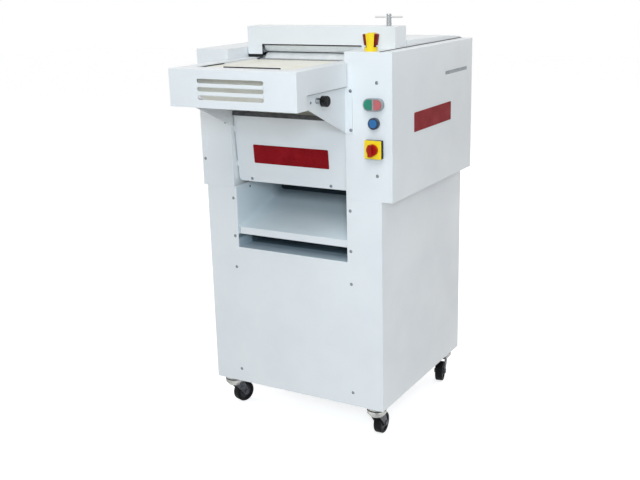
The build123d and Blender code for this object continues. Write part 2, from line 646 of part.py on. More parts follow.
# Gussets under the rails, with a flange on each box's front
Z_GUSSET_TOP = Z_SKIRT - END_GAP
with BuildPart() as gussets:
    for side in (-1, 1):
        inner_x = TABLE_MID + side * (RAIL_INNER + RAIL)
        outer_x = inner_x + side * RAIL
        flange_end = outer_x + side * GUSSET_FLANGE
        plate = (min(inner_x, outer_x), max(inner_x, outer_x))
        profile_x(
            plate,
            [
                (Y_FRONT, Z_TABLE - GUSSET_DROP),
                (Y_FRONT, Z_GUSSET_TOP),
                (Y_RAIL + END_GAP, Z_GUSSET_TOP),
                (Y_RAIL + END_GAP, Z_TABLE),
                (Y_FRONT - GUSSET_RUN, Z_TABLE),
            ],
        )
        flange_z = (Z_TABLE - GUSSET_DROP, Z_GUSSET_TOP)
        block((inner_x, flange_end), (Y_FRONT - RAIL, Y_FRONT), flange_z)
        if side > 0:
            rod_x(plate, (Y_CLAMP, Z_CLAMP), CLAMP_BOLT_RADIUS + RUN_CLEAR, mode=Mode.SUBTRACT)
keep(gussets, "gussets")

WEB_LEFT = TABLE_MID - RAIL_INNER
WEB_RIGHT = TABLE_MID + RAIL_INNER
MOULD_INNER = MOULD_RADIUS + BELT_GAP
with BuildPart() as slider_beds:
    bed_top = Z_BELT - BELT_THICK - RUN_CLEAR
    bed_y = (Y_DRUM + DRUM_OUTER / 2, Y_INFEED_REAR - INFEED_OUTER)
    block((WEB_LEFT, WEB_RIGHT), bed_y, (bed_top - SHEET, bed_top))
    bed_foot = Z_MOULD - MOULD_INNER + RUN_CLEAR
    bed_y = (Y_MOULD_FRONT + MOULD_OUTER, Y_MOULD_REAR - MOULD_OUTER)
    block((CHANNEL_LEFT, CHANNEL_RIGHT), bed_y, (bed_foot, bed_foot + SHEET))
keep(slider_beds, "slider_beds")

with BuildPart() as infeed_belt:
    inner = (DRUM_RADIUS + BELT_GAP, INFEED_RADIUS + BELT_GAP)
    belt_loop((BELT_LEFT, BELT_RIGHT), (DRUM, INFEED_REAR), inner, BELT_THICK)
keep(infeed_belt, "infeed_belt")

with BuildPart() as infeed_drum:
    rod_x((WEB_LEFT + END_GAP, WEB_RIGHT - END_GAP), DRUM, DRUM_RADIUS)
    rod_x((WEB_LEFT - RAIL, WEB_RIGHT + RAIL), DRUM, SHAFT_RADIUS)
keep(infeed_drum, "infeed_drum")

SHAFT_LEFT = CHANNEL_LEFT - BUSH_LENGTH + END_GAP
with BuildPart() as infeed_rear_roller:
    rod_x((WEB_LEFT + END_GAP, WEB_RIGHT - END_GAP), INFEED_REAR, INFEED_RADIUS)
    rod_x((SHAFT_LEFT, CHAIN_TWO_X + CHAIN_WIDTH), INFEED_REAR, SHAFT_RADIUS)
    half = CHAIN_WIDTH / 2
    toothed_disc((CHAIN_TWO_X - half, CHAIN_TWO_X + half), INFEED_REAR, sprocket_tooth(), SPROCKET_TEETH, 0)
keep(infeed_rear_roller, "infeed_rear_roller")

# Hand knob whose bolt clamps the right rail to its gusset
GUSSET_FACE = TABLE_MID + RAIL_INNER + 2 * RAIL
with BuildPart() as clamp_knob:
    clamp = (Y_CLAMP, Z_CLAMP)
    collar_end = GUSSET_FACE + BUTTON_GAP + CLAMP_COLLAR_LENGTH
    head_end = collar_end + CLAMP_HEAD_LENGTH
    rod_x((WEB_RIGHT + RAIL / 2, collar_end), clamp, CLAMP_BOLT_RADIUS)
    rod_x((GUSSET_FACE + BUTTON_GAP, collar_end), clamp, CLAMP_COLLAR_RADIUS)
    rod_x((collar_end, head_end), clamp, CLAMP_HEAD_RADIUS)
    fillet(clamp_knob.edges().group_by(Axis.X)[-1], CLAMP_HEAD_LENGTH / 5)
keep(clamp_knob, "clamp_knob")

# Sheeting rollers with their gears
with BuildPart() as lower_roller:
    rod_x((LEG_RIGHT + END_GAP, CHANNEL_RIGHT - END_GAP), LOWER, ROLLER_RADIUS)
    rod_x((SHAFT_LEFT, CHAIN_TWO_X + CHAIN_WIDTH), LOWER, SHAFT_RADIUS)
keep(lower_roller, "lower_roller")

GEAR_MODULE = (Z_UPPER - Z_LOWER) / GEAR_TEETH
GEAR_SPAN = (GEAR_X, GEAR_X + GEAR_WIDTH)
TOOTH = gear_tooth(GEAR_TEETH, GEAR_MODULE, GEAR_BACKLASH)
with BuildPart() as lower_gear:
    toothed_disc(GEAR_SPAN, LOWER, TOOTH, GEAR_TEETH, pi / 2 + pi / GEAR_TEETH)
    rod_x(GEAR_SPAN, LOWER, SHAFT_RADIUS, mode=Mode.SUBTRACT)
    sprocket(CHAIN_ONE_X, LOWER)
    sprocket(CHAIN_TWO_X, LOWER)
keep(lower_gear, "lower_gear")

with BuildPart() as upper_roller:
    rod_x((LEG_RIGHT + END_GAP, CHANNEL_RIGHT - END_GAP), UPPER, ROLLER_RADIUS)
    rod_x((HOOD_LEFT + SHEET + END_GAP, GEAR_X + GEAR_WIDTH + END_GAP), UPPER, JOURNAL_RADIUS)
keep(upper_roller, "upper_roller")

with BuildPart() as upper_gear:
    toothed_disc(GEAR_SPAN, UPPER, TOOTH, GEAR_TEETH, -pi / 2)
    rod_x(GEAR_SPAN, UPPER, JOURNAL_RADIUS, mode=Mode.SUBTRACT)
keep(upper_gear, "upper_gear")

# Yoke that carries the upper roller and rides on the T-handle's screw
LEFT_ARM_X = (LEG_RIGHT - HOOD_LEG_WIDTH / 2 - YOKE_ARM, LEG_RIGHT - HOOD_LEG_WIDTH / 2)
RIGHT_ARM_X = (CHANNEL_RIGHT + FRAME_PLATE + SEAM, CHANNEL_RIGHT + FRAME_PLATE + SEAM + YOKE_ARM)
with BuildPart() as yoke:
    bar_y = (Y_NIP - YOKE_BAR / 2, Y_NIP + YOKE_BAR / 2)
    bar_x = (LEFT_ARM_X[0], X_HANDLE + YOKE_BAR)
    bar_z = (Z_YOKE, Z_YOKE + YOKE_BAR_HEIGHT)
    block(bar_x, bar_y, bar_z)
    arm_y = (Y_NIP - YOKE_ARM_WIDTH / 2, Y_NIP + YOKE_ARM_WIDTH / 2)
    for arm_x in (LEFT_ARM_X, RIGHT_ARM_X):
        block(arm_x, arm_y, (Z_UPPER, Z_YOKE))
        rod_x(arm_x, UPPER, YOKE_ARM_WIDTH / 2)
        rod_x(arm_x, UPPER, JOURNAL_RADIUS + RUN_CLEAR, mode=Mode.SUBTRACT)
    screw_hole = HANDLE_SCREW_RADIUS + RUN_CLEAR
    rod_z(bar_z, (X_HANDLE, Y_NIP), screw_hole, mode=Mode.SUBTRACT)
keep(yoke, "yoke")

with BuildPart() as hood:
    with BuildSketch(Plane.XZ.offset(-Y_HOOD_BACK)):
        with BuildLine():
            Polyline(
                (HOOD_LEFT, Z_RIM + HOOD_FOOT_HEIGHT),
                (LEG_RIGHT, Z_RIM + HOOD_FOOT_HEIGHT),
                (LEG_RIGHT, Z_HOOD_EDGE),
                (CHANNEL_RIGHT, Z_HOOD_EDGE),
                (CHANNEL_RIGHT, Z_TOP),
                (HOOD_RIGHT, Z_TOP),
                (HOOD_RIGHT, Z_HOOD_TOP),
                (HOOD_LEFT, Z_HOOD_TOP),
                close=True,
            )
        make_face()
    extrude(amount=HOOD_DEPTH)
    cavity_y = (Y_HOOD_FRONT + SHEET, Y_HOOD_BACK - SHEET)
    cavity_z = (Z_RIM, Z_HOOD_TOP - SHEET)
    block((HOOD_LEFT + SHEET, HOOD_RIGHT - SHEET), cavity_y, cavity_z, mode=Mode.SUBTRACT)
    hood_hole = HANDLE_SCREW_RADIUS + RUN_CLEAR
    rod_z((Z_HOOD_TOP - SHEET, Z_HOOD_TOP), (X_HANDLE, Y_NIP), hood_hole, mode=Mode.SUBTRACT)
keep(hood, "hood")

with BuildPart() as hood_foot:
    foot_y = (Y_HOOD_FRONT, Y_HOOD_BACK)
    block((HOOD_LEFT, LEG_RIGHT), foot_y, (Z_RIM, Z_RIM + HOOD_FOOT_HEIGHT))
    block((HOOD_LEFT + SHEET, LEG_RIGHT), cavity_y, (Z_RIM, Z_RIM + HOOD_FOOT_HEIGHT), mode=Mode.SUBTRACT)
keep(hood_foot, "hood_foot")

# T-handle: screw under the hood, post and cross bar above it
with BuildPart() as t_handle:
    handle = (X_HANDLE, Y_NIP)
    post_top = Z_HOOD_TOP + HANDLE_POST_HEIGHT
    collar_top = Z_HOOD_TOP - SHEET - HANDLE_GAP
    rod_z((Z_YOKE - END_GAP, Z_HOOD_TOP + END_GAP), handle, HANDLE_SCREW_RADIUS)
    rod_z((collar_top - SHEET, collar_top), handle, HANDLE_POST_RADIUS)
    rod_z((Z_HOOD_TOP + HANDLE_GAP, post_top), handle, HANDLE_POST_RADIUS)
    fillet(t_handle.edges().group_by(Axis.Z)[-1], HANDLE_POST_RADIUS / 5)
    bar = (X_HANDLE - HANDLE_BAR_LENGTH / 2, X_HANDLE + HANDLE_BAR_LENGTH / 2)
    rod_x(bar, (Y_NIP, post_top - HANDLE_BAR_DROP), HANDLE_BAR_RADIUS)
keep(t_handle, "t_handle")

with BuildPart() as lower_scraper:
    scraper_top = Z_LOWER - ROLLER_RADIUS - SCRAPER_GAP
    blade_y = (Y_NIP - SHEET / 2, Y_NIP + SHEET / 2)
    block((CHANNEL_LEFT, CHANNEL_RIGHT), blade_y, (scraper_top - SCRAPER_HEIGHT, scraper_top))
keep(lower_scraper, "lower_scraper")

# Moulding belt, its rollers and the pressure board that bends up behind them
MOULD_BELT_X = (CHANNEL_LEFT + BELT_SIDE_GAP, CHANNEL_RIGHT - BELT_SIDE_GAP)
with BuildPart() as moulding_belt:
    belt_loop(MOULD_BELT_X, (MOULD_FRONT, MOULD_REAR), (MOULD_INNER, MOULD_INNER), BELT_THICK)
keep(moulding_belt, "moulding_belt")

with BuildPart() as moulding_front_roller:
    rod_x((CHANNEL_LEFT + END_GAP, CHANNEL_RIGHT - END_GAP), MOULD_FRONT, MOULD_RADIUS)
    rod_x((SHAFT_LEFT, CHANNEL_RIGHT + BUSH_LENGTH - END_GAP), MOULD_FRONT, SHAFT_RADIUS)
keep(moulding_front_roller, "moulding_front_roller")

with BuildPart() as moulding_rear_roller:
    rod_x((CHANNEL_LEFT + END_GAP, CHANNEL_RIGHT - END_GAP), MOULD_REAR, MOULD_RADIUS)
    rod_x((SHAFT_LEFT, PULLEY_X + PULLEY_WIDTH + END_GAP), MOULD_REAR, SHAFT_RADIUS)
keep(moulding_rear_roller, "moulding_rear_roller")

BOARD_INNER = MOULD_OUTER + MOULD_GAP
Y_BOARD = Y_MOULD_FRONT - BOARD_LEAD
with BuildPart() as pressure_board:
    board_z = (Z_MOULD - BOARD_INNER - BOARD_THICK, Z_MOULD - BOARD_INNER)
    block((CHANNEL_LEFT, CHANNEL_RIGHT), (Y_BOARD, Y_MOULD_REAR), board_z)
    rod_x((CHANNEL_LEFT, CHANNEL_RIGHT), MOULD_REAR, BOARD_INNER + BOARD_THICK)
    rod_x((CHANNEL_LEFT, CHANNEL_RIGHT), MOULD_REAR, BOARD_INNER, mode=Mode.SUBTRACT)
    front_half = (Y_MOULD_REAR - BOARD_INNER - BOARD_THICK, Y_MOULD_REAR)
    upper_z = (board_z[1], Z_MOULD + BOARD_INNER + BOARD_THICK)
    block((CHANNEL_LEFT, CHANNEL_RIGHT), front_half, upper_z, mode=Mode.SUBTRACT)
keep(pressure_board, "pressure_board")


def pulley(radius, bore, centre):
    """Grooved pulley turned about its shaft, bored for it."""
    y, z = centre
    x_mid = PULLEY_X + PULLEY_WIDTH / 2
    lip = PULLEY_WIDTH / 8
    bed = DRIVE_BELT_WIDTH / 2 + DRIVE_BELT_GAP
    with BuildSketch(Plane.XZ.offset(-y)) as section:
        with BuildLine():
            Polyline(
                (PULLEY_X, z + bore),
                (PULLEY_X, z + radius),
                (PULLEY_X + lip, z + radius),
                (x_mid - bed, z + radius - GROOVE_DEPTH),
                (x_mid + bed, z + radius - GROOVE_DEPTH),
                (PULLEY_X + PULLEY_WIDTH - lip, z + radius),
                (PULLEY_X + PULLEY_WIDTH, z + radius),
                (PULLEY_X + PULLEY_WIDTH, z + bore),
                close=True,
            )
        make_face()
    revolve(section.sketch, axis=Axis((0, y, z), (1, 0, 0)))


# Drive: pulley and sprocket on the rear moulding shaft, motor below in the base
with BuildPart() as drive_pulley:
    pulley(PULLEY_RADIUS, SHAFT_RADIUS, MOULD_REAR)
    sprocket(CHAIN_ONE_X, MOULD_REAR)
keep(drive_pulley, "drive_pulley")

MOTOR_FACE = PULLEY_X - MOTOR_SHAFT_DEPTH
with BuildPart() as motor_pulley:
    pulley(MOTOR_PULLEY_RADIUS, MOTOR_SHAFT_RADIUS / 2, MOTOR)
    rod_x((MOTOR_FACE - MOTOR_SHAFT_DEPTH, PULLEY_X + PULLEY_WIDTH), MOTOR, MOTOR_SHAFT_RADIUS)
keep(motor_pulley, "motor_pulley")

with BuildPart() as motor_housing:
    housing_x = (MOTOR_FACE - MOTOR_LENGTH, MOTOR_FACE)
    rod_x(housing_x, MOTOR, MOTOR_RADIUS)
    chamfer(motor_housing.edges().group_by(Axis.X)[0], MOTOR_RADIUS / 8)
    foot_x = (housing_x[0] + MOTOR_LENGTH / 4, housing_x[1] - MOTOR_LENGTH / 4)
    foot_z = (Z_BASE + FLOOR_PLATE, MOTOR[1] - MOTOR_RADIUS / 2)
    block(foot_x, (MOTOR[0] - MOTOR_RADIUS, MOTOR[0] + MOTOR_RADIUS), foot_z)
    terminal_z = (MOTOR[1], MOTOR[1] + MOTOR_RADIUS + MOTOR_FOOT * 2)
    terminal_y = (MOTOR[0] - MOTOR_RADIUS / 2, MOTOR[0] + MOTOR_RADIUS / 2)
    block(foot_x, terminal_y, terminal_z)
    shaft_bore = (MOTOR_FACE - MOTOR_SHAFT_DEPTH - END_GAP, MOTOR_FACE)
    rod_x(shaft_bore, MOTOR, MOTOR_SHAFT_RADIUS + RUN_CLEAR, mode=Mode.SUBTRACT)
keep(motor_housing, "motor_housing")

with BuildPart() as drive_belt:
    belt_mid = PULLEY_X + PULLEY_WIDTH / 2
    belt_x = (belt_mid - DRIVE_BELT_WIDTH / 2, belt_mid + DRIVE_BELT_WIDTH / 2)
    groove = GROOVE_DEPTH - DRIVE_BELT_GAP
    inner = (PULLEY_RADIUS - groove, MOTOR_PULLEY_RADIUS - groove)
    belt_loop(belt_x, (MOULD_REAR, MOTOR), inner, DRIVE_BELT_THICK)
keep(drive_belt, "drive_belt")


def chain(middle, start, end):
    """Roller chain round two equal sprockets: side plates all round, pins on the straight runs."""
    inner = SPROCKET_RADIUS - CHAIN_HALF_HEIGHT
    gap = CHAIN_WIDTH / 2 + BUTTON_GAP
    for x in ((middle - gap - CHAIN_PLATE, middle - gap), (middle + gap, middle + gap + CHAIN_PLATE)):
        belt_loop(x, (start, end), (inner, inner), 2 * CHAIN_HALF_HEIGHT)
    span = hypot(end[0] - start[0], end[1] - start[1])
    along = ((end[0] - start[0]) / span, (end[1] - start[1]) / span)
    tip = SPROCKET_RADIUS + CHAIN_HALF_HEIGHT / 2 + CHAIN_PIN_RADIUS + BUTTON_GAP
    clear = sqrt(tip**2 - SPROCKET_RADIUS**2)
    count = int((span - 2 * clear) / CHAIN_PITCH) + 1
    first = (span - (count - 1) * CHAIN_PITCH) / 2
    for side in (-SPROCKET_RADIUS, SPROCKET_RADIUS):
        for pin in range(count):
            reach = first + pin * CHAIN_PITCH
            y = start[0] + along[0] * reach - along[1] * side
            z = start[1] + along[1] * reach + along[0] * side
            rod_x((middle - gap, middle + gap), (y, z), CHAIN_PIN_RADIUS)


with BuildPart() as drive_chains:
    chain(CHAIN_ONE_X, LOWER, MOULD_REAR)
    chain(CHAIN_TWO_X, INFEED_REAR, LOWER)
keep(drive_chains, "drive_chains")

# Start and stop buttons side by side in one oval bezel
Y_BEZEL = Y_FRONT - BEZEL_DEPTH
CONTROL_PLANE = Plane.XZ.offset(-Y_FRONT)
BUTTON_OUTER = BEZEL_TALL / 2 - BEZEL_WALL


def half_oval(side, inset):
    """Half of the bezel's inner oval, on the left (-1) or right (1) of its bridge."""
    inner_width = BEZEL_WIDTH - 2 * BEZEL_WALL - 2 * inset
    inner_tall = BEZEL_TALL - 2 * BEZEL_WALL - 2 * inset
    bridge = BUTTON_BRIDGE / 2 + inset
    with Locations((X_CONTROL, Z_START_STOP)):
        SlotOverall(inner_width, inner_tall)
    with Locations((X_CONTROL - side * (BEZEL_WIDTH / 2 - bridge), Z_START_STOP)):
        Rectangle(BEZEL_WIDTH, BEZEL_TALL, mode=Mode.SUBTRACT)


with BuildPart() as button_bezels:
    with BuildSketch(CONTROL_PLANE):
        with Locations((X_CONTROL, Z_START_STOP)):
            SlotOverall(BEZEL_WIDTH, BEZEL_TALL)
    extrude(amount=BEZEL_DEPTH)
    fillet(button_bezels.faces().sort_by(Axis.Y)[0].outer_wire().edges(), BEZEL_WALL / 3)
    for side in (-1, 1):
        with BuildSketch(CONTROL_PLANE):
            half_oval(side, 0)
        extrude(amount=BEZEL_DEPTH, mode=Mode.SUBTRACT)
    reset = (X_CONTROL, Z_RESET)
    rod_y((Y_FRONT - RESET_DEPTH, Y_FRONT), reset, RESET_RING_RADIUS)
    rod_y((Y_FRONT - RESET_DEPTH, Y_FRONT), reset, RESET_CAP_RADIUS + BUTTON_GAP, mode=Mode.SUBTRACT)
keep(button_bezels, "button_bezels")

for name, side in (("start_button", -1), ("stop_button", 1)):
    with BuildPart() as button:
        with BuildSketch(Plane.XZ.offset(-Y_BEZEL + BUTTON_PROUD - BUTTON_DEPTH)):
            half_oval(side, BUTTON_GAP)
        extrude(amount=BUTTON_DEPTH)
        fillet(button.faces().sort_by(Axis.Y)[0].edges(), BUTTON_PROUD / 2)
    keep(button, name)

with BuildPart() as reset_button:
    cap_front = Y_FRONT - RESET_DEPTH - BUTTON_PROUD
    rod_y((cap_front, cap_front + BUTTON_DEPTH - BUTTON_PROUD), reset, RESET_CAP_RADIUS)
    fillet(reset_button.edges().group_by(Axis.Y)[0], BUTTON_PROUD / 2)
keep(reset_button, "reset_button")

with BuildPart() as switch_plate:
    half = SWITCH_PLATE / 2
    plate_x = (X_CONTROL - half, X_CONTROL + half)
    block(plate_x, (Y_FRONT - SWITCH_DEPTH, Y_FRONT), (Z_SWITCH - half, Z_SWITCH + half))
    fillet(switch_plate.edges().filter_by(Axis.Y), SWITCH_PLATE / 24)
    stem_hole = KNOB_STEM_RADIUS + RUN_CLEAR
    rod_y((Y_FRONT - SWITCH_DEPTH, Y_FRONT), (X_CONTROL, Z_SWITCH), stem_hole, mode=Mode.SUBTRACT)
keep(switch_plate, "switch_plate")

with BuildPart() as switch_knob:
    switch = (X_CONTROL, Z_SWITCH)
    disc_back = Y_FRONT - SWITCH_DEPTH - BUTTON_GAP
    disc_front = disc_back - KNOB_DISC
    rod_y((disc_back, Y_FRONT + SHEET), switch, KNOB_STEM_RADIUS)
    rod_y((disc_front, disc_back), switch, KNOB_RADIUS)
    grip_x = (X_CONTROL - KNOB_GRIP_WIDTH / 2, X_CONTROL + KNOB_GRIP_WIDTH / 2)
    grip_z = (Z_SWITCH - KNOB_RADIUS, Z_SWITCH + KNOB_RADIUS)
    block(grip_x, (disc_front - KNOB_GRIP_DEPTH, disc_front), grip_z)
    fillet(switch_knob.faces().sort_by(Axis.Y)[0].edges(), KNOB_GRIP_WIDTH / 5)
keep(switch_knob, "switch_knob")

# Emergency stop: flared collar with a window each side, mushroom inside
ESTOP_FLARE = (ESTOP_TOP_RADIUS - ESTOP_FOOT_RADIUS) / ESTOP_HEIGHT
ESTOP_PLANE = Plane.XZ.offset(-Y_ESTOP)
ESTOP_AXIS = Axis((X_ESTOP, Y_ESTOP, 0), (0, 0, 1))


def estop_radius(height, inset):
    return ESTOP_FOOT_RADIUS + ESTOP_FLARE * height - inset


with BuildPart() as estop_collar:
    with BuildSketch(ESTOP_PLANE):
        with BuildLine():
            Polyline(
                (X_ESTOP + ESTOP_STEM_RADIUS + RUN_CLEAR, Z_TOP),
                (X_ESTOP + ESTOP_FOOT_RADIUS, Z_TOP),
                (X_ESTOP + ESTOP_TOP_RADIUS, Z_TOP + ESTOP_HEIGHT),
                (X_ESTOP + ESTOP_TOP_RADIUS - ESTOP_WALL, Z_TOP + ESTOP_HEIGHT),
                (X_ESTOP + estop_radius(ESTOP_BASE, ESTOP_WALL), Z_TOP + ESTOP_BASE),
                (X_ESTOP + ESTOP_STEM_RADIUS + RUN_CLEAR, Z_TOP + ESTOP_BASE),
                close=True,
            )
        make_face()
    revolve(axis=ESTOP_AXIS)
    window_x = (X_ESTOP - ESTOP_TOP_RADIUS, X_ESTOP + ESTOP_TOP_RADIUS)
    window_y = (Y_ESTOP - ESTOP_WINDOW_WIDTH / 2, Y_ESTOP + ESTOP_WINDOW_WIDTH / 2)
    window_z = (Z_TOP + ESTOP_BUTTON_LIFT, Z_TOP + ESTOP_HEIGHT)
    block(window_x, window_y, window_z, mode=Mode.SUBTRACT)
keep(estop_collar, "estop_collar")

with BuildPart() as estop_button:
    inset = ESTOP_WALL + ESTOP_BUTTON_GAP
    crown = ESTOP_HEIGHT - ESTOP_BUTTON_BELOW_RIM
    with BuildSketch(ESTOP_PLANE):
        with BuildLine():
            Polyline(
                (X_ESTOP, Z_TOP - SHEET),
                (X_ESTOP + ESTOP_STEM_RADIUS, Z_TOP - SHEET),
                (X_ESTOP + ESTOP_STEM_RADIUS, Z_TOP + ESTOP_BUTTON_LIFT),
                (X_ESTOP + estop_radius(ESTOP_BUTTON_LIFT, inset), Z_TOP + ESTOP_BUTTON_LIFT),
                (X_ESTOP + estop_radius(crown, inset), Z_TOP + crown),
                (X_ESTOP, Z_TOP + crown),
                close=True,
            )
        make_face()
    revolve(axis=ESTOP_AXIS)
    fillet(estop_button.edges().group_by(Axis.Z)[-1], ESTOP_WALL)
keep(estop_button, "estop_button")

# Cable gland on the base's back panel
with BuildPart() as cable_gland:
    gland = (X_GLAND, Z_GLAND)
    nut_in = Y_BASE_BACK - SHEET - GLAND_NUT
    nut_out = Y_BASE_BACK + GLAND_NUT
    nose = nut_out + GLAND_NOSE
    rod_y((nut_in, nose), gland, GLAND_BODY_RADIUS)
    for y in ((nut_in, Y_BASE_BACK - SHEET), (Y_BASE_BACK, nut_out)):
        with BuildSketch(Plane.XZ.offset(-y[1])):
            with Locations(gland):
                RegularPolygon(GLAND_NUT_RADIUS, 6)
        extrude(amount=y[1] - y[0])
    rod_y((nut_in, nose), gland, GLAND_BORE_RADIUS, mode=Mode.SUBTRACT)
keep(cable_gland, "cable_gland")

# Screw heads on the front of the cabinet and head: (x, z) on the front plane
COLUMN_INSET = 11
LEFT_COLUMN = OUTLET_LEFT - COLUMN_INSET
RIGHT_COLUMN = OUTLET_RIGHT + COLUMN_INSET
COLUMN_HEIGHTS = (40, 360, 453, 565)
CONTROL_SCREW_HEIGHTS = (69, 309)
CONTROL_SCREW_INSET = 43
COVER_SCREW_HEIGHT = 76
FLANGE_SCREW_INSET = 16
FLANGE_SCREW_MARGIN = 9
PANEL_SCREW_SPACING = 255
PANEL_SCREW_SHIFT = -8.5
PANEL_SCREW_HEIGHT = 8
with BuildPart() as cover_screws:
    fronts = [(x, Z_BASE + z) for x in (LEFT_COLUMN, RIGHT_COLUMN) for z in COLUMN_HEIGHTS]
    fronts += [(X_RIGHT - CONTROL_SCREW_INSET, Z_HEAD + z) for z in CONTROL_SCREW_HEIGHTS]
    fronts += [(X_LEFT + COVER_FLANGE / 2, Z_HEAD + COVER_SCREW_HEIGHT)]
    for place in fronts:
        rod_y((Y_FRONT - SCREW_HEIGHT, Y_FRONT), place, SCREW_RADIUS)
    for side in (-1, 1):
        flange_x = TABLE_MID + side * (RAIL_INNER + 2 * RAIL + FLANGE_SCREW_INSET)
        for z in (Z_TABLE - GUSSET_DROP + FLANGE_SCREW_MARGIN, Z_GUSSET_TOP - FLANGE_SCREW_MARGIN):
            rod_y((Y_FRONT - RAIL - SCREW_HEIGHT, Y_FRONT - RAIL), (flange_x, z), SCREW_RADIUS)
    with BuildSketch(PANEL_PLANE):
        with Locations((PANEL_SCREW_SHIFT, PANEL_SCREW_HEIGHT)):
            with GridLocations(PANEL_SCREW_SPACING, 1, 2, 1):
                Circle(SCREW_RADIUS)
    extrude(amount=SCREW_HEIGHT)
    for head in cover_screws.solids():
        fillet(head.edges().filter_by(GeomType.CIRCLE).sort_by(Axis.Y)[0], SCREW_HEIGHT / 2)
keep(cover_screws, "cover_screws")


def caster_plane(x, y, heading):
    """Plane through the swivel axis, local X along the trail and local Y up."""
    angle = radians(heading)
    return Plane(origin=(x, y, 0), x_dir=(cos(angle), sin(angle), 0), z_dir=(sin(angle), -cos(angle), 0))


# Casters: each has a fork that swivels in its socket and a wheel on the fork's axle
SWIVEL_TOP = Z_BASE - SWIVEL_GAP
SWIVEL_FOOT = SWIVEL_TOP - SWIVEL_HEIGHT
CROWN_MIDDLE = SWIVEL_FOOT - CROWN_HEIGHT / 2
RACE_FOOT = SWIVEL_FOOT + SWIVEL_RING_HEIGHT
RACE_TOP = RACE_FOOT + SWIVEL_RACE_HEIGHT
ARM_INNER = WHEEL_WIDTH / 2 + WHEEL_SIDE_GAP
for place, (x, y, heading) in CASTERS.items():
    plane = caster_plane(x, y, heading)
    with BuildPart() as fork:
        rod_z((SWIVEL_FOOT, RACE_FOOT), (x, y), SWIVEL_RADIUS)
        rod_z((RACE_FOOT, RACE_TOP), (x, y), SWIVEL_RADIUS - SWIVEL_RACE_DEPTH)
        rod_z((RACE_TOP, SWIVEL_TOP), (x, y), SWIVEL_RADIUS)
        with Locations((x, y, CROWN_MIDDLE)):
            Cone(CROWN_RADIUS, SWIVEL_RADIUS, CROWN_HEIGHT)
        rod_z((SWIVEL_TOP, Z_BASE + SOCKET_HEIGHT), (x, y), STEM_RADIUS)
        for start in (ARM_INNER, -ARM_INNER - FORK_ARM):
            with BuildSketch(plane.offset(start)):
                with BuildLine():
                    CenterArc((CASTER_TRAIL, WHEEL_RADIUS), FORK_FOOT_RADIUS, 0, 360)
                with BuildLine():
                    shoulder = SWIVEL_RADIUS * 0.7
                    Line((-shoulder, SWIVEL_FOOT), (shoulder, SWIVEL_FOOT))
                make_hull()
            extrude(amount=FORK_ARM)
        for start, length in ((-ARM_INNER - FORK_ARM, 2 * (ARM_INNER + FORK_ARM)),):
            with BuildSketch(plane.offset(start)):
                with Locations((CASTER_TRAIL, WHEEL_RADIUS)):
                    Circle(AXLE_RADIUS)
            extrude(amount=length)
        for start in (ARM_INNER + FORK_ARM, -ARM_INNER - FORK_ARM - AXLE_HEAD):
            with BuildSketch(plane.offset(start)):
                with Locations((CASTER_TRAIL, WHEEL_RADIUS)):
                    Circle(AXLE_HEAD_RADIUS)
            extrude(amount=AXLE_HEAD)
    keep(fork, f"caster_fork_{place}")
    with BuildPart() as wheel:
        with BuildSketch(plane.offset(-WHEEL_WIDTH / 2)):
            with Locations((CASTER_TRAIL, WHEEL_RADIUS)):
                Circle(WHEEL_RADIUS)
        extrude(amount=WHEEL_WIDTH)
        rims = wheel.edges().filter_by(GeomType.CIRCLE)
        fillet(rims, WHEEL_WIDTH / 8)
        for start in (WHEEL_WIDTH / 2 - WHEEL_WIDTH / 8, -WHEEL_WIDTH / 2):
            with BuildSketch(plane.offset(start)):
                with Locations((CASTER_TRAIL, WHEEL_RADIUS)):
                    Circle(WHEEL_RADIUS * 0.7)
                    Circle(WHEEL_RADIUS * 0.35, mode=Mode.SUBTRACT)
            extrude(amount=WHEEL_WIDTH / 8, mode=Mode.SUBTRACT)
        with BuildSketch(plane.offset(-WHEEL_WIDTH / 2)):
            with Locations((CASTER_TRAIL, WHEEL_RADIUS)):
                Circle(AXLE_RADIUS + RUN_CLEAR)
        extrude(amount=WHEEL_WIDTH, mode=Mode.SUBTRACT)
    keep(wheel, f"caster_wheel_{place}")
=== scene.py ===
# Looks, light and camera for the dough moulder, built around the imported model.
import math

import bmesh
import bpy
from mathutils import Matrix, Vector


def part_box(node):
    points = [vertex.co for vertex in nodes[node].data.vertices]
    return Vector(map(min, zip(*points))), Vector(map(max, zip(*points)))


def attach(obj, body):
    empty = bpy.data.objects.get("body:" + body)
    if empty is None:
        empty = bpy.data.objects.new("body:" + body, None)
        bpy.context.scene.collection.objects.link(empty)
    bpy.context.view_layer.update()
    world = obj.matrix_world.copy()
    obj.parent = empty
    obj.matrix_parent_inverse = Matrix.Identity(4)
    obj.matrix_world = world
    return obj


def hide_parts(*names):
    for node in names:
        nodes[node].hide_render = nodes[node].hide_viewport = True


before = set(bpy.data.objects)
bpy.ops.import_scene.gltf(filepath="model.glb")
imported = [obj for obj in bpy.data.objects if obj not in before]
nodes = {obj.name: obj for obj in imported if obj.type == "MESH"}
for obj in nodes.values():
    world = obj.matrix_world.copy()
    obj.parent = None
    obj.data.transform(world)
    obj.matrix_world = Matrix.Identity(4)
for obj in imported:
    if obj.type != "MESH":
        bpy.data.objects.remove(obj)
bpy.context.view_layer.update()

MM = 0.001
WELD_REACH = 0.01 * MM
SHARP_ANGLE = math.radians(40)
SHEET_THICK = 2 * MM
RIGHT = Vector((1, 0, 0))
LEFT = Vector((-1, 0, 0))
FRONT = Vector((0, -1, 0))
BACK = Vector((0, 1, 0))
UP = Vector((0, 0, 1))


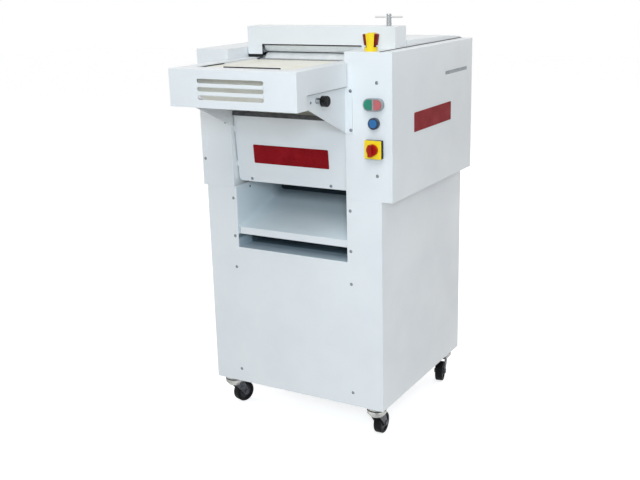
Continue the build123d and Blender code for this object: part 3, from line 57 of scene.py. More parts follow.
def srgb(red, green, blue):
    """Colour written as 0 to 255, as the linear value that shaders take."""
    linear = []
    for value in (red, green, blue):
        share = value / 255
        linear.append(share / 12.92 if share <= 0.04045 else ((share + 0.055) / 1.055) ** 2.4)
    return (*linear, 1.0)


# Finishes: every one is made of nodes that read Object coordinates
def new_finish(name, roughness, metallic=0.0):
    """A material with its node tree and its shader."""
    material = bpy.data.materials.new(name)
    material.use_nodes = True
    tree = material.node_tree
    shader = tree.nodes["Principled BSDF"]
    shader.inputs["Roughness"].default_value = roughness
    shader.inputs["Metallic"].default_value = metallic
    return material, tree, shader


def place(tree, stretch=(1, 1, 1)):
    """Object coordinates, stretched along each axis."""
    source = tree.nodes.new("ShaderNodeTexCoord")
    mapping = tree.nodes.new("ShaderNodeMapping")
    mapping.inputs["Scale"].default_value = stretch
    tree.links.new(source.outputs["Object"], mapping.inputs["Vector"])
    return mapping.outputs["Vector"]


def noise(tree, where, scale, detail=3.0, roughness=0.55):
    """Noise value at a scale in cells per metre."""
    node = tree.nodes.new("ShaderNodeTexNoise")
    node.inputs["Scale"].default_value = scale
    node.inputs["Detail"].default_value = detail
    node.inputs["Roughness"].default_value = roughness
    tree.links.new(where, node.inputs["Vector"])
    return node.outputs["Fac"]


def ramp(tree, value, stops):
    """Colours along a value; stops holds (position, colour)."""
    node = tree.nodes.new("ShaderNodeValToRGB")
    elements = node.color_ramp.elements
    elements[0].position, elements[0].color = stops[0]
    elements[1].position, elements[1].color = stops[-1]
    for position, colour in stops[1:-1]:
        elements.new(position).color = colour
    tree.links.new(value, node.inputs["Fac"])
    return node.outputs["Color"]


def spread(tree, value, low, high, start=0.3, end=0.7):
    """Stretch a value from start..end to low..high."""
    node = tree.nodes.new("ShaderNodeMapRange")
    node.inputs["From Min"].default_value = start
    node.inputs["From Max"].default_value = end
    node.inputs["To Min"].default_value = low
    node.inputs["To Max"].default_value = high
    tree.links.new(value, node.inputs["Value"])
    return node.outputs["Result"]


def combine(tree, operation, first, second):
    """Math on two values; each is a socket or a number."""
    node = tree.nodes.new("ShaderNodeMath")
    node.operation = operation
    for socket, value in zip(node.inputs, (first, second)):
        if isinstance(value, (int, float)):
            socket.default_value = value
        else:
            tree.links.new(value, socket)
    return node.outputs["Value"]


# Sockets of a Mix node that is set to colours
MIX_FACTOR = 0
MIX_BASE = 6
MIX_OVER = 7
MIX_RESULT = 2


def tint(tree, kind, factor, base, over):
    """Mix two colours; each is a socket or a colour, and the factor is a socket or a number."""
    node = tree.nodes.new("ShaderNodeMix")
    node.data_type = "RGBA"
    node.blend_type = kind
    for index, value in ((MIX_FACTOR, factor), (MIX_BASE, base), (MIX_OVER, over)):
        if isinstance(value, bpy.types.NodeSocket):
            tree.links.new(value, node.inputs[index])
        else:
            node.inputs[index].default_value = value
    return node.outputs[MIX_RESULT]


def bump(tree, shader, height, strength, depth):
    """Relief of a depth in metres."""
    node = tree.nodes.new("ShaderNodeBump")
    node.inputs["Strength"].default_value = strength
    node.inputs["Distance"].default_value = depth
    tree.links.new(height, node.inputs["Height"])
    tree.links.new(node.outputs["Normal"], shader.inputs["Normal"])


def powder_coat(name, clean, soiled):
    """White stove paint: orange peel, faint clouding and a few specks of dust."""
    material, tree, shader = new_finish(name, roughness=0.38)
    where = place(tree)
    cloud = noise(tree, where, scale=5.0, detail=4.0)
    colour = ramp(tree, cloud, [(0.25, soiled), (0.55, clean)])
    fleck = noise(tree, where, scale=260.0, detail=2.0)
    specks = spread(tree, fleck, low=0.12, high=0.0, start=0.2, end=0.3)
    colour = tint(tree, "MIX", specks, colour, srgb(150, 156, 162))
    tree.links.new(colour, shader.inputs["Base Color"])
    tree.links.new(spread(tree, cloud, low=0.44, high=0.32), shader.inputs["Roughness"])
    peel = noise(tree, where, scale=620.0, detail=2.0)
    bump(tree, shader, peel, strength=0.12, depth=0.4 * MM)
    shader.inputs["Coat Weight"].default_value = 0.15
    shader.inputs["Coat Roughness"].default_value = 0.2
    return material


def felt(name):
    """Cream woven felt: crossed yarns, fuzz and flour stains."""
    material, tree, shader = new_finish(name, roughness=0.95)
    where = place(tree)
    stain = noise(tree, where, scale=14.0, detail=4.0)
    creams = [(0.3, srgb(226, 222, 206)), (0.5, srgb(236, 233, 220)), (0.7, srgb(240, 238, 229))]
    fuzz = noise(tree, where, scale=900.0, roughness=0.7)
    worn = spread(tree, fuzz, low=0.0, high=0.16)
    colour = tint(tree, "MULTIPLY", worn, ramp(tree, stain, creams), srgb(216, 208, 188))
    tree.links.new(colour, shader.inputs["Base Color"])
    yarns = []
    for direction in ("X", "Y"):
        wave = tree.nodes.new("ShaderNodeTexWave")
        wave.bands_direction = direction
        wave.inputs["Scale"].default_value = 110.0
        wave.inputs["Distortion"].default_value = 1.2
        wave.inputs["Detail"].default_value = 2.0
        tree.links.new(where, wave.inputs["Vector"])
        yarns.append(wave.outputs["Fac"])
    weave = combine(tree, "MULTIPLY", yarns[0], yarns[1])
    bump(tree, shader, combine(tree, "ADD", weave, fuzz), strength=0.45, depth=0.8 * MM)
    shader.inputs["Sheen Weight"].default_value = 0.35
    shader.inputs["Sheen Roughness"].default_value = 0.6
    return material


def turned_metal(name, dark, bright, roughness, stretch, grain):
    """Metal with a fine grain drawn out along the way it was turned or brushed."""
    material, tree, shader = new_finish(name, roughness, metallic=1.0)
    lines = noise(tree, place(tree, stretch), grain, roughness=0.6)
    tree.links.new(ramp(tree, lines, [(0.3, dark), (0.7, bright)]), shader.inputs["Base Color"])
    cloud = noise(tree, place(tree), scale=30.0)
    streaks = spread(tree, lines, low=-0.05, high=0.05)
    stains = spread(tree, cloud, low=roughness - 0.04, high=roughness + 0.06)
    tree.links.new(combine(tree, "ADD", streaks, stains), shader.inputs["Roughness"])
    bump(tree, shader, lines, strength=0.08, depth=0.2 * MM)
    return material


def moulded(name, deep, lit, roughness, grain=900.0, relief=0.06, gloss=0.5):
    """Moulded plastic or rubber: fine grain, faint clouding and rubbed spots."""
    material, tree, shader = new_finish(name, roughness)
    where = place(tree)
    cloud = noise(tree, where, scale=45.0, detail=4.0)
    tree.links.new(ramp(tree, cloud, [(0.3, deep), (0.7, lit)]), shader.inputs["Base Color"])
    rubbed = spread(tree, cloud, low=roughness + 0.06, high=roughness - 0.05)
    tree.links.new(rubbed, shader.inputs["Roughness"])
    bump(tree, shader, noise(tree, where, grain, detail=2.0), relief, depth=0.3 * MM)
    shader.inputs["Specular IOR Level"].default_value = gloss
    return material


# Where painted shade dims and darkens the outlet's paint: depths count along y, heights along z
SHADE_DEPTH = (35 * MM, 91 * MM)
SHADOW_DEPTH = (90 * MM, 93 * MM)
SHADE_BELOW = (553 * MM, 557 * MM)
SHADOW_BELOW_DEPTH = (-84 * MM, -76 * MM)
SHADOW_UNDER_LIP = (540 * MM, 546 * MM)


def shaded_channel_paint(name):
    """Blue-grey paint of the outlet, with painted shade: dimmer far in and low down, and painted shadow
    deep inside and just under the tray's lip.
    """
    material, tree, shader = new_finish(name, roughness=0.45)
    where = place(tree)
    cloud = noise(tree, where, scale=6.0, detail=4.0)
    colour = ramp(tree, cloud, [(0.3, srgb(220, 231, 238)), (0.6, srgb(227, 237, 243))])
    split = tree.nodes.new("ShaderNodeSeparateXYZ")
    tree.links.new(where, split.inputs["Vector"])
    inward, height = split.outputs["Y"], split.outputs["Z"]
    # Painted shade: the paint dims towards a darker grey-blue low down and far in
    below = spread(tree, height, 1.0, 0.0, *SHADE_BELOW)
    depth = spread(tree, inward, 0.0, 0.65, *SHADE_DEPTH)
    painted_dimming = combine(tree, "MAXIMUM", depth, combine(tree, "MULTIPLY", below, 0.6))
    colour = tint(tree, "MULTIPLY", painted_dimming, colour, srgb(152, 170, 182))
    # Painted shadow: near black deep inside, and low down both far in and just under the tray's lip
    deep = spread(tree, inward, 0.0, 0.8, *SHADOW_BELOW_DEPTH)
    under_lip = spread(tree, height, 0.0, 0.7, *SHADOW_UNDER_LIP)
    deep_below = combine(tree, "MULTIPLY", below, combine(tree, "MAXIMUM", deep, under_lip))
    dark = combine(tree, "MAXIMUM", spread(tree, inward, 0.0, 1.0, *SHADOW_DEPTH), deep_below)
    colour = tint(tree, "MULTIPLY", dark, colour, srgb(96, 114, 124))
    tree.links.new(colour, shader.inputs["Base Color"])
    tree.links.new(spread(tree, cloud, low=0.5, high=0.4), shader.inputs["Roughness"])
    bump(tree, shader, noise(tree, where, scale=620.0, detail=2.0), strength=0.12, depth=0.4 * MM)
    return material


def red_enamel(name):
    """Deep red enamel of the two bare badge plates, slightly faded and dusty."""
    material, tree, shader = new_finish(name, roughness=0.42)
    where = place(tree)
    cloud = noise(tree, where, scale=22.0, detail=4.0)
    reds = [(0.3, srgb(128, 4, 16)), (0.55, srgb(142, 8, 22)), (0.75, srgb(152, 16, 28))]
    grit = noise(tree, where, scale=380.0, roughness=0.7)
    dust = spread(tree, grit, low=0.0, high=0.1, start=0.45, end=0.75)
    colour = tint(tree, "MIX", dust, ramp(tree, cloud, reds), srgb(176, 120, 120))
    tree.links.new(colour, shader.inputs["Base Color"])
    tree.links.new(spread(tree, cloud, low=0.5, high=0.34), shader.inputs["Roughness"])
    bump(tree, shader, noise(tree, where, scale=700.0, detail=2.0), strength=0.06, depth=0.3 * MM)
    shader.inputs["Specular IOR Level"].default_value = 0.06
    return material


# How a metal's grain is drawn out along x, y and z, and the relief of rubber
EVEN = (1, 1, 1)
LONG = (1, 60, 60)
BRUSHED = (1, 30, 30)
ROUND = (40, 1, 1)
RUBBER = {"grain": 700.0, "relief": 0.12, "gloss": 0.2}

WHITE = powder_coat("white_stove_paint", srgb(229, 232, 234), srgb(223, 226, 229))
SHADED_CHANNEL = shaded_channel_paint("shaded_channel_paint")
CREAM_FELT = felt("cream_felt")
CHROME = turned_metal("polished_plate", srgb(134, 136, 138), srgb(192, 194, 196), 0.2, LONG, 14.0)
# A brighter copy of the handle's chrome for its bar: a painted highlight along the bar
HIGHLIT_ROD = turned_metal("rod_with_painted_highlight", srgb(222, 222, 222), srgb(246, 246, 246), 0.06, LONG, 14.0)
ROLLER_COAT = moulded("white_nonstick_coat", srgb(238, 241, 242), srgb(247, 249, 250), 0.34)
# A darker copy of the roller coat for the lower roller: painted shade
SHADED_COAT = moulded("shaded_nonstick_coat", srgb(216, 218, 219), srgb(230, 231, 232), 0.4)
ZINC = turned_metal("zinc_plate", srgb(112, 114, 114), srgb(196, 196, 190), 0.26, EVEN, 60.0)
# Darker steel for the fork's legs, also painting shade into the ball race's groove
DARK_FORK_AND_RACE_SHADE = turned_metal("dark_fork_and_race_shade", srgb(58, 60, 64), srgb(92, 94, 98), 0.45, EVEN, 90.0)
SATIN = turned_metal("satin_steel", srgb(150, 154, 158), srgb(190, 193, 197), 0.36, BRUSHED, 260.0)
OILED = turned_metal("oiled_steel", srgb(58, 60, 64), srgb(96, 99, 104), 0.42, EVEN, 120.0)
ALUMINIUM = turned_metal("turned_aluminium", srgb(176, 178, 182), srgb(208, 210, 213), 0.32, ROUND, 30.0)
IRON = turned_metal("machined_iron", srgb(70, 71, 74), srgb(112, 113, 116), 0.5, EVEN, 140.0)
BRONZE = turned_metal("turned_bronze", srgb(148, 108, 58), srgb(190, 146, 88), 0.34, ROUND, 30.0)
SCREW_STEEL = turned_metal("dulled_screw_steel", srgb(96, 102, 108), srgb(148, 154, 160), 0.4, EVEN, 300.0)
MOTOR_PAINT = moulded("motor_paint", srgb(84, 92, 100), srgb(104, 112, 120), 0.5)
# Black rubber of the foot and drive belt, also on strips that stand in for shadow
BLACK_RUBBER_AND_SHADE = moulded("black_rubber", srgb(18, 18, 19), srgb(34, 34, 36), 0.7, **RUBBER)
# Grey finish of the strips that stand in for shadow at the lid's seam and the panel's top edge
GREY_SHADE_STRIP = moulded("grey_shade_strips", srgb(70, 70, 72), srgb(96, 96, 98), 0.7, **RUBBER)
TREAD = moulded("wheel_rubber", srgb(7, 7, 8), srgb(16, 16, 17), 0.6, grain=500.0, relief=0.12, gloss=0.15)
HUB = moulded("wheel_hub", srgb(30, 31, 34), srgb(48, 49, 52), 0.45, gloss=0.2)
BLACK_PLASTIC = moulded("black_plastic", srgb(8, 8, 9), srgb(18, 18, 19), 0.3, gloss=0.18)
GREY_PLASTIC = moulded("grey_bezel", srgb(132, 138, 142), srgb(156, 161, 164), 0.4)
VENT_GREY = moulded("vent_grey", srgb(150, 152, 154), srgb(172, 174, 176), 0.5)
RING_PLASTIC = moulded("dark_ring", srgb(26, 38, 52), srgb(42, 56, 72), 0.35)
GREEN_PLASTIC = moulded("green_button", srgb(22, 120, 96), srgb(40, 140, 114), 0.32)
STOP_PLASTIC = moulded("stop_button_red", srgb(172, 84, 88), srgb(190, 102, 104), 0.32)
RED_PLASTIC = moulded("deep_red_plastic", srgb(150, 18, 14), srgb(178, 30, 20), 0.34, gloss=0.2)
MUSHROOM_RED = moulded("mushroom_red", srgb(116, 12, 12), srgb(142, 22, 18), 0.34, gloss=0.2)
BLUE_PLASTIC = moulded("blue_button", srgb(18, 90, 150), srgb(32, 112, 172), 0.3)
YELLOW_PLASTIC = moulded("yellow_plastic", srgb(240, 206, 10), srgb(250, 222, 30), 0.36)
BADGE_RED = red_enamel("badge_red")

SHEET_METAL = [
    "base_side_panels", "base_front_panel", "back_panels", "base_floor", "head_floor_plates",
    "frame_plates", "left_side_cover", "left_front_cover", "control_panel", "right_side_cover",
    "top_plates", "rear_lid", "front_panel", "hood", "infeed_cover", "infeed_rails", "gussets", "yoke",
]
OUTLET = ["outlet_liner", "outlet_tray"]
FORKS = [name for name in nodes if name.startswith("caster_fork_")]
WHEELS = [name for name in nodes if name.startswith("caster_wheel_")]
FINISHES = [
    (WHITE, SHEET_METAL),
    (SHADED_CHANNEL, OUTLET),
    (CREAM_FELT, ["infeed_belt", "moulding_belt"]),
    (CHROME, ["t_handle"]),
    (ROLLER_COAT, ["upper_roller"]),
    (SHADED_COAT, ["lower_roller"]),
    (ZINC, FORKS),
    (SATIN, ["slider_beds", "pressure_board", "lower_scraper"]),
    (OILED, ["drive_chains"]),
    (SCREW_STEEL, ["cover_screws"]),
    (ALUMINIUM, ["infeed_drum", "infeed_rear_roller", "moulding_front_roller", "moulding_rear_roller"]),
    (IRON, ["lower_gear", "upper_gear", "drive_pulley", "motor_pulley"]),
    (BRONZE, ["shaft_bushes"]),
    (MOTOR_PAINT, ["motor_housing"]),
    (BLACK_RUBBER_AND_SHADE, ["hood_foot", "drive_belt"]),
    (TREAD, WHEELS),
    (BLACK_PLASTIC, ["clamp_knob", "cable_gland"]),
    (GREY_PLASTIC, ["button_bezels"]),
    (GREEN_PLASTIC, ["start_button"]),
    (STOP_PLASTIC, ["stop_button"]),
    (RED_PLASTIC, ["switch_knob", "estop_button"]),
    (BLUE_PLASTIC, ["reset_button"]),
    (YELLOW_PLASTIC, ["switch_plate", "estop_collar"]),
]
for finish, names in FINISHES:
    for name in names:
        nodes[name].data.materials.clear()
        nodes[name].data.materials.append(finish)


# Second finishes on some of a node's faces
CLAMP_STEM_LENGTH = 22.5 * MM
HANDLE_POST_REACH = 9 * MM
RING_RADIUS = 17 * MM
PLATE_FRONT_TURN = 0.5
LIP_TURN = 0.7
HUB_SHARE = 0.72
SWIVEL_DEPTH = 30 * MM
RACE_MIDDLE_DEPTH = 9.3 * MM
RACE_HALF_HEIGHT = 2.2 * MM


def paint_faces(name, finish, wanted):
    """Give the wanted faces of a node a second finish."""
    mesh = nodes[name].data
    mesh.materials.append(finish)
    for face in mesh.polygons:
        if wanted(face):
            face.material_index = 1


def darker_legs_and_race_shade(face):
    """True on the fork's legs, which are made darker, and in the groove of the ball race, whose dark band
    is painted shade.
    """
    depth = swivel_top - face.center.z
    return depth > SWIVEL_DEPTH or abs(depth - RACE_MIDDLE_DEPTH) < RACE_HALF_HEIGHT


stem_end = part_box("clamp_knob")[0].x + CLAMP_STEM_LENGTH
handle_low, handle_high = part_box("t_handle")
handle_middle = (handle_low + handle_high) / 2
ring_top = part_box("reset_button")[1].z + RING_RADIUS
swivel_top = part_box("base_floor")[0].z
paint_faces("clamp_knob", CHROME, lambda face: face.center.x < stem_end)
# The handle's bar gets the brighter chrome copy, a painted highlight
paint_faces(
    "t_handle", HIGHLIT_ROD, lambda face: (face.center - handle_middle).xy.length > HANDLE_POST_REACH
)
paint_faces("button_bezels", RING_PLASTIC, lambda face: face.center.z < ring_top)
paint_faces("switch_plate", BLACK_PLASTIC, lambda face: abs(face.normal.y) < PLATE_FRONT_TURN)
paint_faces("outlet_tray", WHITE, lambda face: face.normal.y < -LIP_TURN)
for name in FORKS:
    paint_faces(name, DARK_FORK_AND_RACE_SHADE, darker_legs_and_race_shade)
for name in WHEELS:
    low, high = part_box(name)
    hub = (low + high) / 2
    reach = (high.z - low.z) / 2 * HUB_SHARE
    paint_faces(name, HUB, lambda face: (face.center - hub).length < reach)


# Folded and ground edges on the carried-over sheet metal and plastics
SHEET_EDGE = 0.7 * MM
PLASTIC_EDGE = 0.6 * MM
BEVEL_STEPS = 2


def round_edges(piece, name, width):
    """A bevel on the sharp edges of a piece."""
    edge = piece.modifiers.new(name, "BEVEL")
    edge.width = width
    edge.segments = BEVEL_STEPS
    edge.limit_method = "ANGLE"
    return edge


def soften(name, width):
    """Join the faces of a node and round its edges."""
    node = nodes[name]
    weld = node.modifiers.new("join_faces", "WELD")
    weld.merge_threshold = WELD_REACH
    round_edges(node, "soft_edge", width).angle_limit = SHARP_ANGLE
    even = node.modifiers.new("even_normals", "WEIGHTED_NORMAL")
    even.keep_sharp = False


for name in SHEET_METAL + OUTLET + ["slider_beds", "pressure_board"]:
    soften(name, SHEET_EDGE)
for name in ("switch_plate", "switch_knob", "button_bezels", "start_button", "stop_button", "reset_button"):
    soften(name, PLASTIC_EDGE)


# Pieces made here
def link(name, data):
    """An object in the scene for a mesh, a lamp or a camera."""
    thing = bpy.data.objects.new(name, data)
    bpy.context.scene.collection.objects.link(thing)
    return thing


def add_piece(name, mesh, body):
    """Link a mesh as a piece that rides on a body."""
    piece = link(name, mesh)
    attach(piece, body)
    return piece


def lofted(name, runs, closed=False):
    """Mesh of one or more runs of rows: each row is joined to the next, and open runs get end faces."""
    shape = bmesh.new()
    for rows in runs:
        made = [[shape.verts.new(point) for point in row] for row in rows]
        for index in range(0 if closed else 1, len(made)):
            last, this = made[index - 1], made[index]
            for step in range(len(this)):
                shape.faces.new((last[step - 1], last[step], this[step], this[step - 1]))
        if not closed:
            shape.faces.new(made[0])
            shape.faces.new(made[-1])
    bmesh.ops.recalc_face_normals(shape, faces=shape.faces)
    mesh = bpy.data.meshes.new(name)
    shape.to_mesh(mesh)
    shape.free()
    return mesh


def smooth(mesh):
    """Smooth shading that keeps the sharp edges."""
    mesh.polygons.foreach_set("use_smooth", [True] * len(mesh.polygons))
    mesh.set_sharp_from_angle(angle=SHARP_ANGLE)


# Felt belts in place of the plain loops
BELT_THICK = 3 * MM
BELT_EDGE = BELT_THICK / 4
BELT_STEPS_ACROSS = 36
BELT_ARC_STEPS = 28
BELT_RUN_STEPS = 40
FELT_EDGE_WANDER = 0.8 * MM
WANDER_WAVES = (5, 3)
FELT_FLUTTER = 0.25 * MM
FLUTTER_WAVES = ((9, 7), (4, -11))


def roller_middle(name):
    """Middle (y, z) of a roller."""
    low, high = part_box(name)
    return Vector(((low.y + high.y) / 2, (low.z + high.z) / 2))


def on_circle(centre, radius, angle):
    """Point (y, z) of a circle at an angle."""
    return centre + radius * Vector((math.cos(angle), math.sin(angle)))


def arc(centre, radius, start, end):
    """Points of an arc, without its end."""
    angles = [start + (end - start) * step / BELT_ARC_STEPS for step in range(BELT_ARC_STEPS)]
    return [on_circle(centre, radius, angle) for angle in angles]


def straight(start, end):
    """Points of a straight run, without its end."""
    return [start.lerp(end, step / BELT_RUN_STEPS) for step in range(BELT_RUN_STEPS)]


def loop_path(front, front_radius, back, back_radius):
    """Points (y, z) around two rollers, over the top and back underneath."""
    along = back - front
    heading = math.atan2(along.y, along.x)
    lean = math.acos((front_radius - back_radius) / along.length)
    over = heading + lean
    under = heading - lean
    points = straight(on_circle(front, front_radius, over), on_circle(back, back_radius, over))
    points += arc(back, back_radius, over, under)
    points += straight(on_circle(back, back_radius, under), on_circle(front, front_radius, under))
    points += arc(front, front_radius, under + 2 * math.pi, over)
    return points


def felt_belt(node, front_roller, back_roller):
    """A felt loop with a slightly wandering edge and a soft thickness."""
    low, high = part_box(node)
    front = roller_middle(front_roller)
    back = roller_middle(back_roller)
    half = BELT_THICK / 2
    path = loop_path(front, front.x - low.y - half, back, high.y - back.x - half)
    width = high.x - low.x - 2 * FELT_EDGE_WANDER
    verts = []
    for index, point in enumerate(path):
        turn = 2 * math.pi * index / len(path)
        wander = FELT_EDGE_WANDER * math.sin(WANDER_WAVES[0] * turn) * math.cos(WANDER_WAVES[1] * turn)
        for step in range(BELT_STEPS_ACROSS + 1):
            share = step / BELT_STEPS_ACROSS
            flutter = FELT_FLUTTER
            for along, across in FLUTTER_WAVES:
                flutter *= math.sin(along * turn + across * share)
            verts.append((low.x + FELT_EDGE_WANDER + width * share + wander, point.x, point.y + flutter))
    row = BELT_STEPS_ACROSS + 1
    faces = []
    for index in range(len(path)):
        following = (index + 1) % len(path)
        for step in range(BELT_STEPS_ACROSS):
            near, far = index * row + step, following * row + step
            faces.append((near, near + 1, far + 1, far))
    mesh = bpy.data.meshes.new(node + "_felt")
    mesh.from_pydata(verts, [], faces)
    mesh.materials.append(CREAM_FELT)
    mesh.polygons.foreach_set("use_smooth", [True] * len(mesh.polygons))
    piece = add_piece(node + "_felt", mesh, "machine")
    thick = piece.modifiers.new("felt_thickness", "SOLIDIFY")
    thick.thickness = BELT_THICK - 2 * FELT_FLUTTER
    thick.offset = 0.0
    round_edges(piece, "soft_edge", BELT_EDGE)
    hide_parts(node)


felt_belt("infeed_belt", "infeed_drum", "infeed_rear_roller")
felt_belt("moulding_belt", "moulding_front_roller", "moulding_rear_roller")


# Two bare badge plates
BADGE_THICK = 0.8 * MM
BADGE_EDGE = BADGE_THICK / 4
BADGE_CORNER = 3 * MM
CORNER_STEPS = 5
FLAT_FACING = 0.95
FRONT_BADGE_SIZE = (240 * MM, 53 * MM)
FRONT_BADGE_MIDDLE = (-16 * MM, 790.5 * MM)
SIDE_BADGE_SIZE = (251 * MM, 52 * MM)
SIDE_BADGE_MIDDLE = (111 * MM, 885 * MM)


def flat_side(mesh, towards):
    """Middle and outward direction of the faces that look the given way."""
    middle = Vector()
    outward = Vector()
    area = 0.0
    for face in mesh.polygons:
        if face.normal.dot(towards) > FLAT_FACING:
            middle += face.center * face.area
            outward += face.normal * face.area
            area += face.area
    return middle / area, outward.normalized()


def badge(name, middle, across, up, size):
    """Rounded plate whose back lies on a surface."""
    width, height = size
    lift = across.cross(up) * BADGE_THICK
    outline = []
    for corner, (side, rise) in enumerate(((1, 1), (-1, 1), (-1, -1), (1, -1))):
        for step in range(CORNER_STEPS + 1):
            angle = math.radians(90 * (corner + step / CORNER_STEPS))
            u = side * (width / 2 - BADGE_CORNER) + BADGE_CORNER * math.cos(angle)
            v = rise * (height / 2 - BADGE_CORNER) + BADGE_CORNER * math.sin(angle)
            outline.append(middle + across * u + up * v)
    mesh = lofted(name, [[outline, [point + lift for point in outline]]])
    mesh.materials.append(BADGE_RED)
    piece = add_piece(name, mesh, "machine")
    round_edges(piece, "worn_edge", BADGE_EDGE)


panel_middle, panel_outward = flat_side(nodes["front_panel"].data, FRONT)
panel_up = panel_outward.cross(RIGHT)
rise = (FRONT_BADGE_MIDDLE[1] - panel_middle.z) / panel_up.z
badge_middle = panel_middle + panel_up * rise
badge_middle.x = FRONT_BADGE_MIDDLE[0]
badge("front_badge_plate", badge_middle, RIGHT, panel_up, FRONT_BADGE_SIZE)
side_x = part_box("right_side_cover")[1].x
badge("side_badge_plate", Vector((side_x, *SIDE_BADGE_MIDDLE)), BACK, UP, SIDE_BADGE_SIZE)


# Black strip along the back of the table's front rim, standing in for the shadow in the gap there
STRIP_EDGE_SHARE = 0.2
RIM_SHADE_ENDS = (-72 * MM, 97 * MM)
RIM_SHADE_THICK = 2 * MM
RIM_SHADE_RISE = 2.8 * MM
RIM_SHADE_SHOULDER = 0.8 * RIM_SHADE_RISE
RIM_SHADE_FOOT = 6 * MM


def shade_strip_behind_rim():
    """A black strip with a pointed top that stands against the rim, in place of the shadow behind it."""
    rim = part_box("infeed_cover")[1]
    back = rim.y + RIM_SHADE_THICK
    section = [
        (rim.y, rim.z - RIM_SHADE_FOOT), (back, rim.z - RIM_SHADE_FOOT), (back, rim.z + RIM_SHADE_SHOULDER),
        (rim.y + RIM_SHADE_THICK / 2, rim.z + RIM_SHADE_RISE), (rim.y, rim.z + RIM_SHADE_SHOULDER),
    ]
    mesh = lofted("rim_shade_strip", [[[(x, y, z) for y, z in section] for x in RIM_SHADE_ENDS]])
    mesh.materials.append(BLACK_RUBBER_AND_SHADE)
    piece = add_piece("rim_shade_strip", mesh, "machine")
    round_edges(piece, "moulded_edge", RIM_SHADE_THICK * STRIP_EDGE_SHARE)


shade_strip_behind_rim()


# Plain strips standing in for shadow: a grey one along the seam beside the lid and a black one under the
# hood's edge
def plain_bar(name, low, high, finish):
    """A straight bar between two corners, with rounded edges."""
    section = [(low.y, low.z), (high.y, low.z), (high.y, high.z), (low.y, high.z)]
    mesh = lofted(name, [[[(x, y, z) for y, z in section] for x in (low.x, high.x)]])
    mesh.materials.append(finish)
    piece = add_piece(name, mesh, "machine")
    round_edges(piece, "moulded_edge", min(high - low) * STRIP_EDGE_SHARE)


SEAM_SHADE_WIDTH = 2.2 * MM
SEAM_SHADE_RISE = 1.6 * MM
SEAM_SHADE_END_GAP = 2 * MM
HOOD_EDGE_RISE = 8 * MM
HOOD_SHADE_THICK = 2 * MM
HOOD_SHADE_DROP = 3 * MM
HOOD_SHADE_FOOT = 8 * MM
HOOD_SHADE_INSET = 2.2 * MM
HOOD_SHADE_END_GAP = 1 * MM
cover_low, cover_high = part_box("right_side_cover")
leg_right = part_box("hood_foot")[1].x
panel_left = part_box("control_panel")[0].x
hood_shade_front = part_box("hood")[0].y + HOOD_SHADE_INSET
hood_edge = cover_high.z + HOOD_EDGE_RISE
# Grey strip along the lid's seam: stands in for the shadow under the lid's edge
plain_bar(
    "lid_seam_shade_strip",
    Vector((cover_low.x, cover_low.y, cover_high.z)),
    Vector((cover_low.x + SEAM_SHADE_WIDTH, cover_high.y - SEAM_SHADE_END_GAP, cover_high.z + SEAM_SHADE_RISE)),
    GREY_SHADE_STRIP,
)
# Black strip under the hood's edge: stands in for the shadow gap between hood and roller
plain_bar(
    "hood_edge_shade_strip",
    Vector((leg_right + HOOD_SHADE_END_GAP, hood_shade_front, hood_edge - HOOD_SHADE_DROP)),
    Vector((panel_left - HOOD_SHADE_END_GAP, hood_shade_front + HOOD_SHADE_THICK, hood_edge + HOOD_SHADE_FOOT)),
    BLACK_RUBBER_AND_SHADE,
)


# Grey strip over the front panel's top edge, standing in for the shaded gap between the panel and the table
PANEL_SHADE_DROP = 11 * MM
PANEL_SHADE_RISE = 1 * MM
PANEL_SHADE_FRONT = 1.4 * MM
PANEL_SHADE_BACK = 4.4 * MM
PANEL_SHADE_END_GAP = 1 * MM
panel_shade_low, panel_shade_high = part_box("front_panel")
plain_bar(
    "panel_top_shade_strip",
    Vector((panel_shade_low.x + PANEL_SHADE_END_GAP, panel_shade_low.y - PANEL_SHADE_FRONT, panel_shade_high.z - PANEL_SHADE_DROP)),
    Vector((panel_shade_high.x - PANEL_SHADE_END_GAP, panel_shade_low.y + PANEL_SHADE_BACK, panel_shade_high.z + PANEL_SHADE_RISE)),
    GREY_SHADE_STRIP,
)


# Guide strips between the belt and the rails, and a bridge plate behind the belt
GUIDE_WIDTH = 1.8 * MM
GUIDE_DROP = 3 * MM
GUIDE_RISE = 1.5 * MM
GUIDE_START = 126 * MM
GUIDE_BACK_GAP = 6 * MM
GUIDE_CLEARANCE = 0.1 * MM
GUIDE_REACH = GUIDE_WIDTH + GUIDE_CLEARANCE
BRIDGE_DEPTH = 4 * MM
BRIDGE_GAP = 1.5 * MM
BRIDGE_RISE = 1 * MM
BRIDGE_DROP = 6 * MM
belt_low, belt_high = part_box("infeed_belt")
guide_starts = {
    "left_belt_guide": belt_low.x - GUIDE_REACH,
    "right_belt_guide": belt_high.x + GUIDE_CLEARANCE,
}
for name, x in guide_starts.items():
    plain_bar(
        name,
        Vector((x, belt_low.y + GUIDE_START, belt_high.z - GUIDE_DROP)),
        Vector((x + GUIDE_WIDTH, belt_high.y - GUIDE_BACK_GAP, belt_high.z + GUIDE_RISE)),
        ROLLER_COAT,
    )
bridge_front = belt_high.y + BRIDGE_GAP
plain_bar(
    "bridge_plate",
    Vector((belt_low.x - GUIDE_REACH, bridge_front, belt_high.z - BRIDGE_DROP)),
    Vector((belt_high.x + GUIDE_REACH, bridge_front + BRIDGE_DEPTH, belt_high.z + BRIDGE_RISE)),
    SATIN,
)


# Painted sealing beads where the tray meets the walls of the outlet
BEAD_RADIUS = 9 * MM
BEAD_STEPS = 8
BEAD_SUNK = 0.5 * MM
TRAY_LIP = 20 * MM


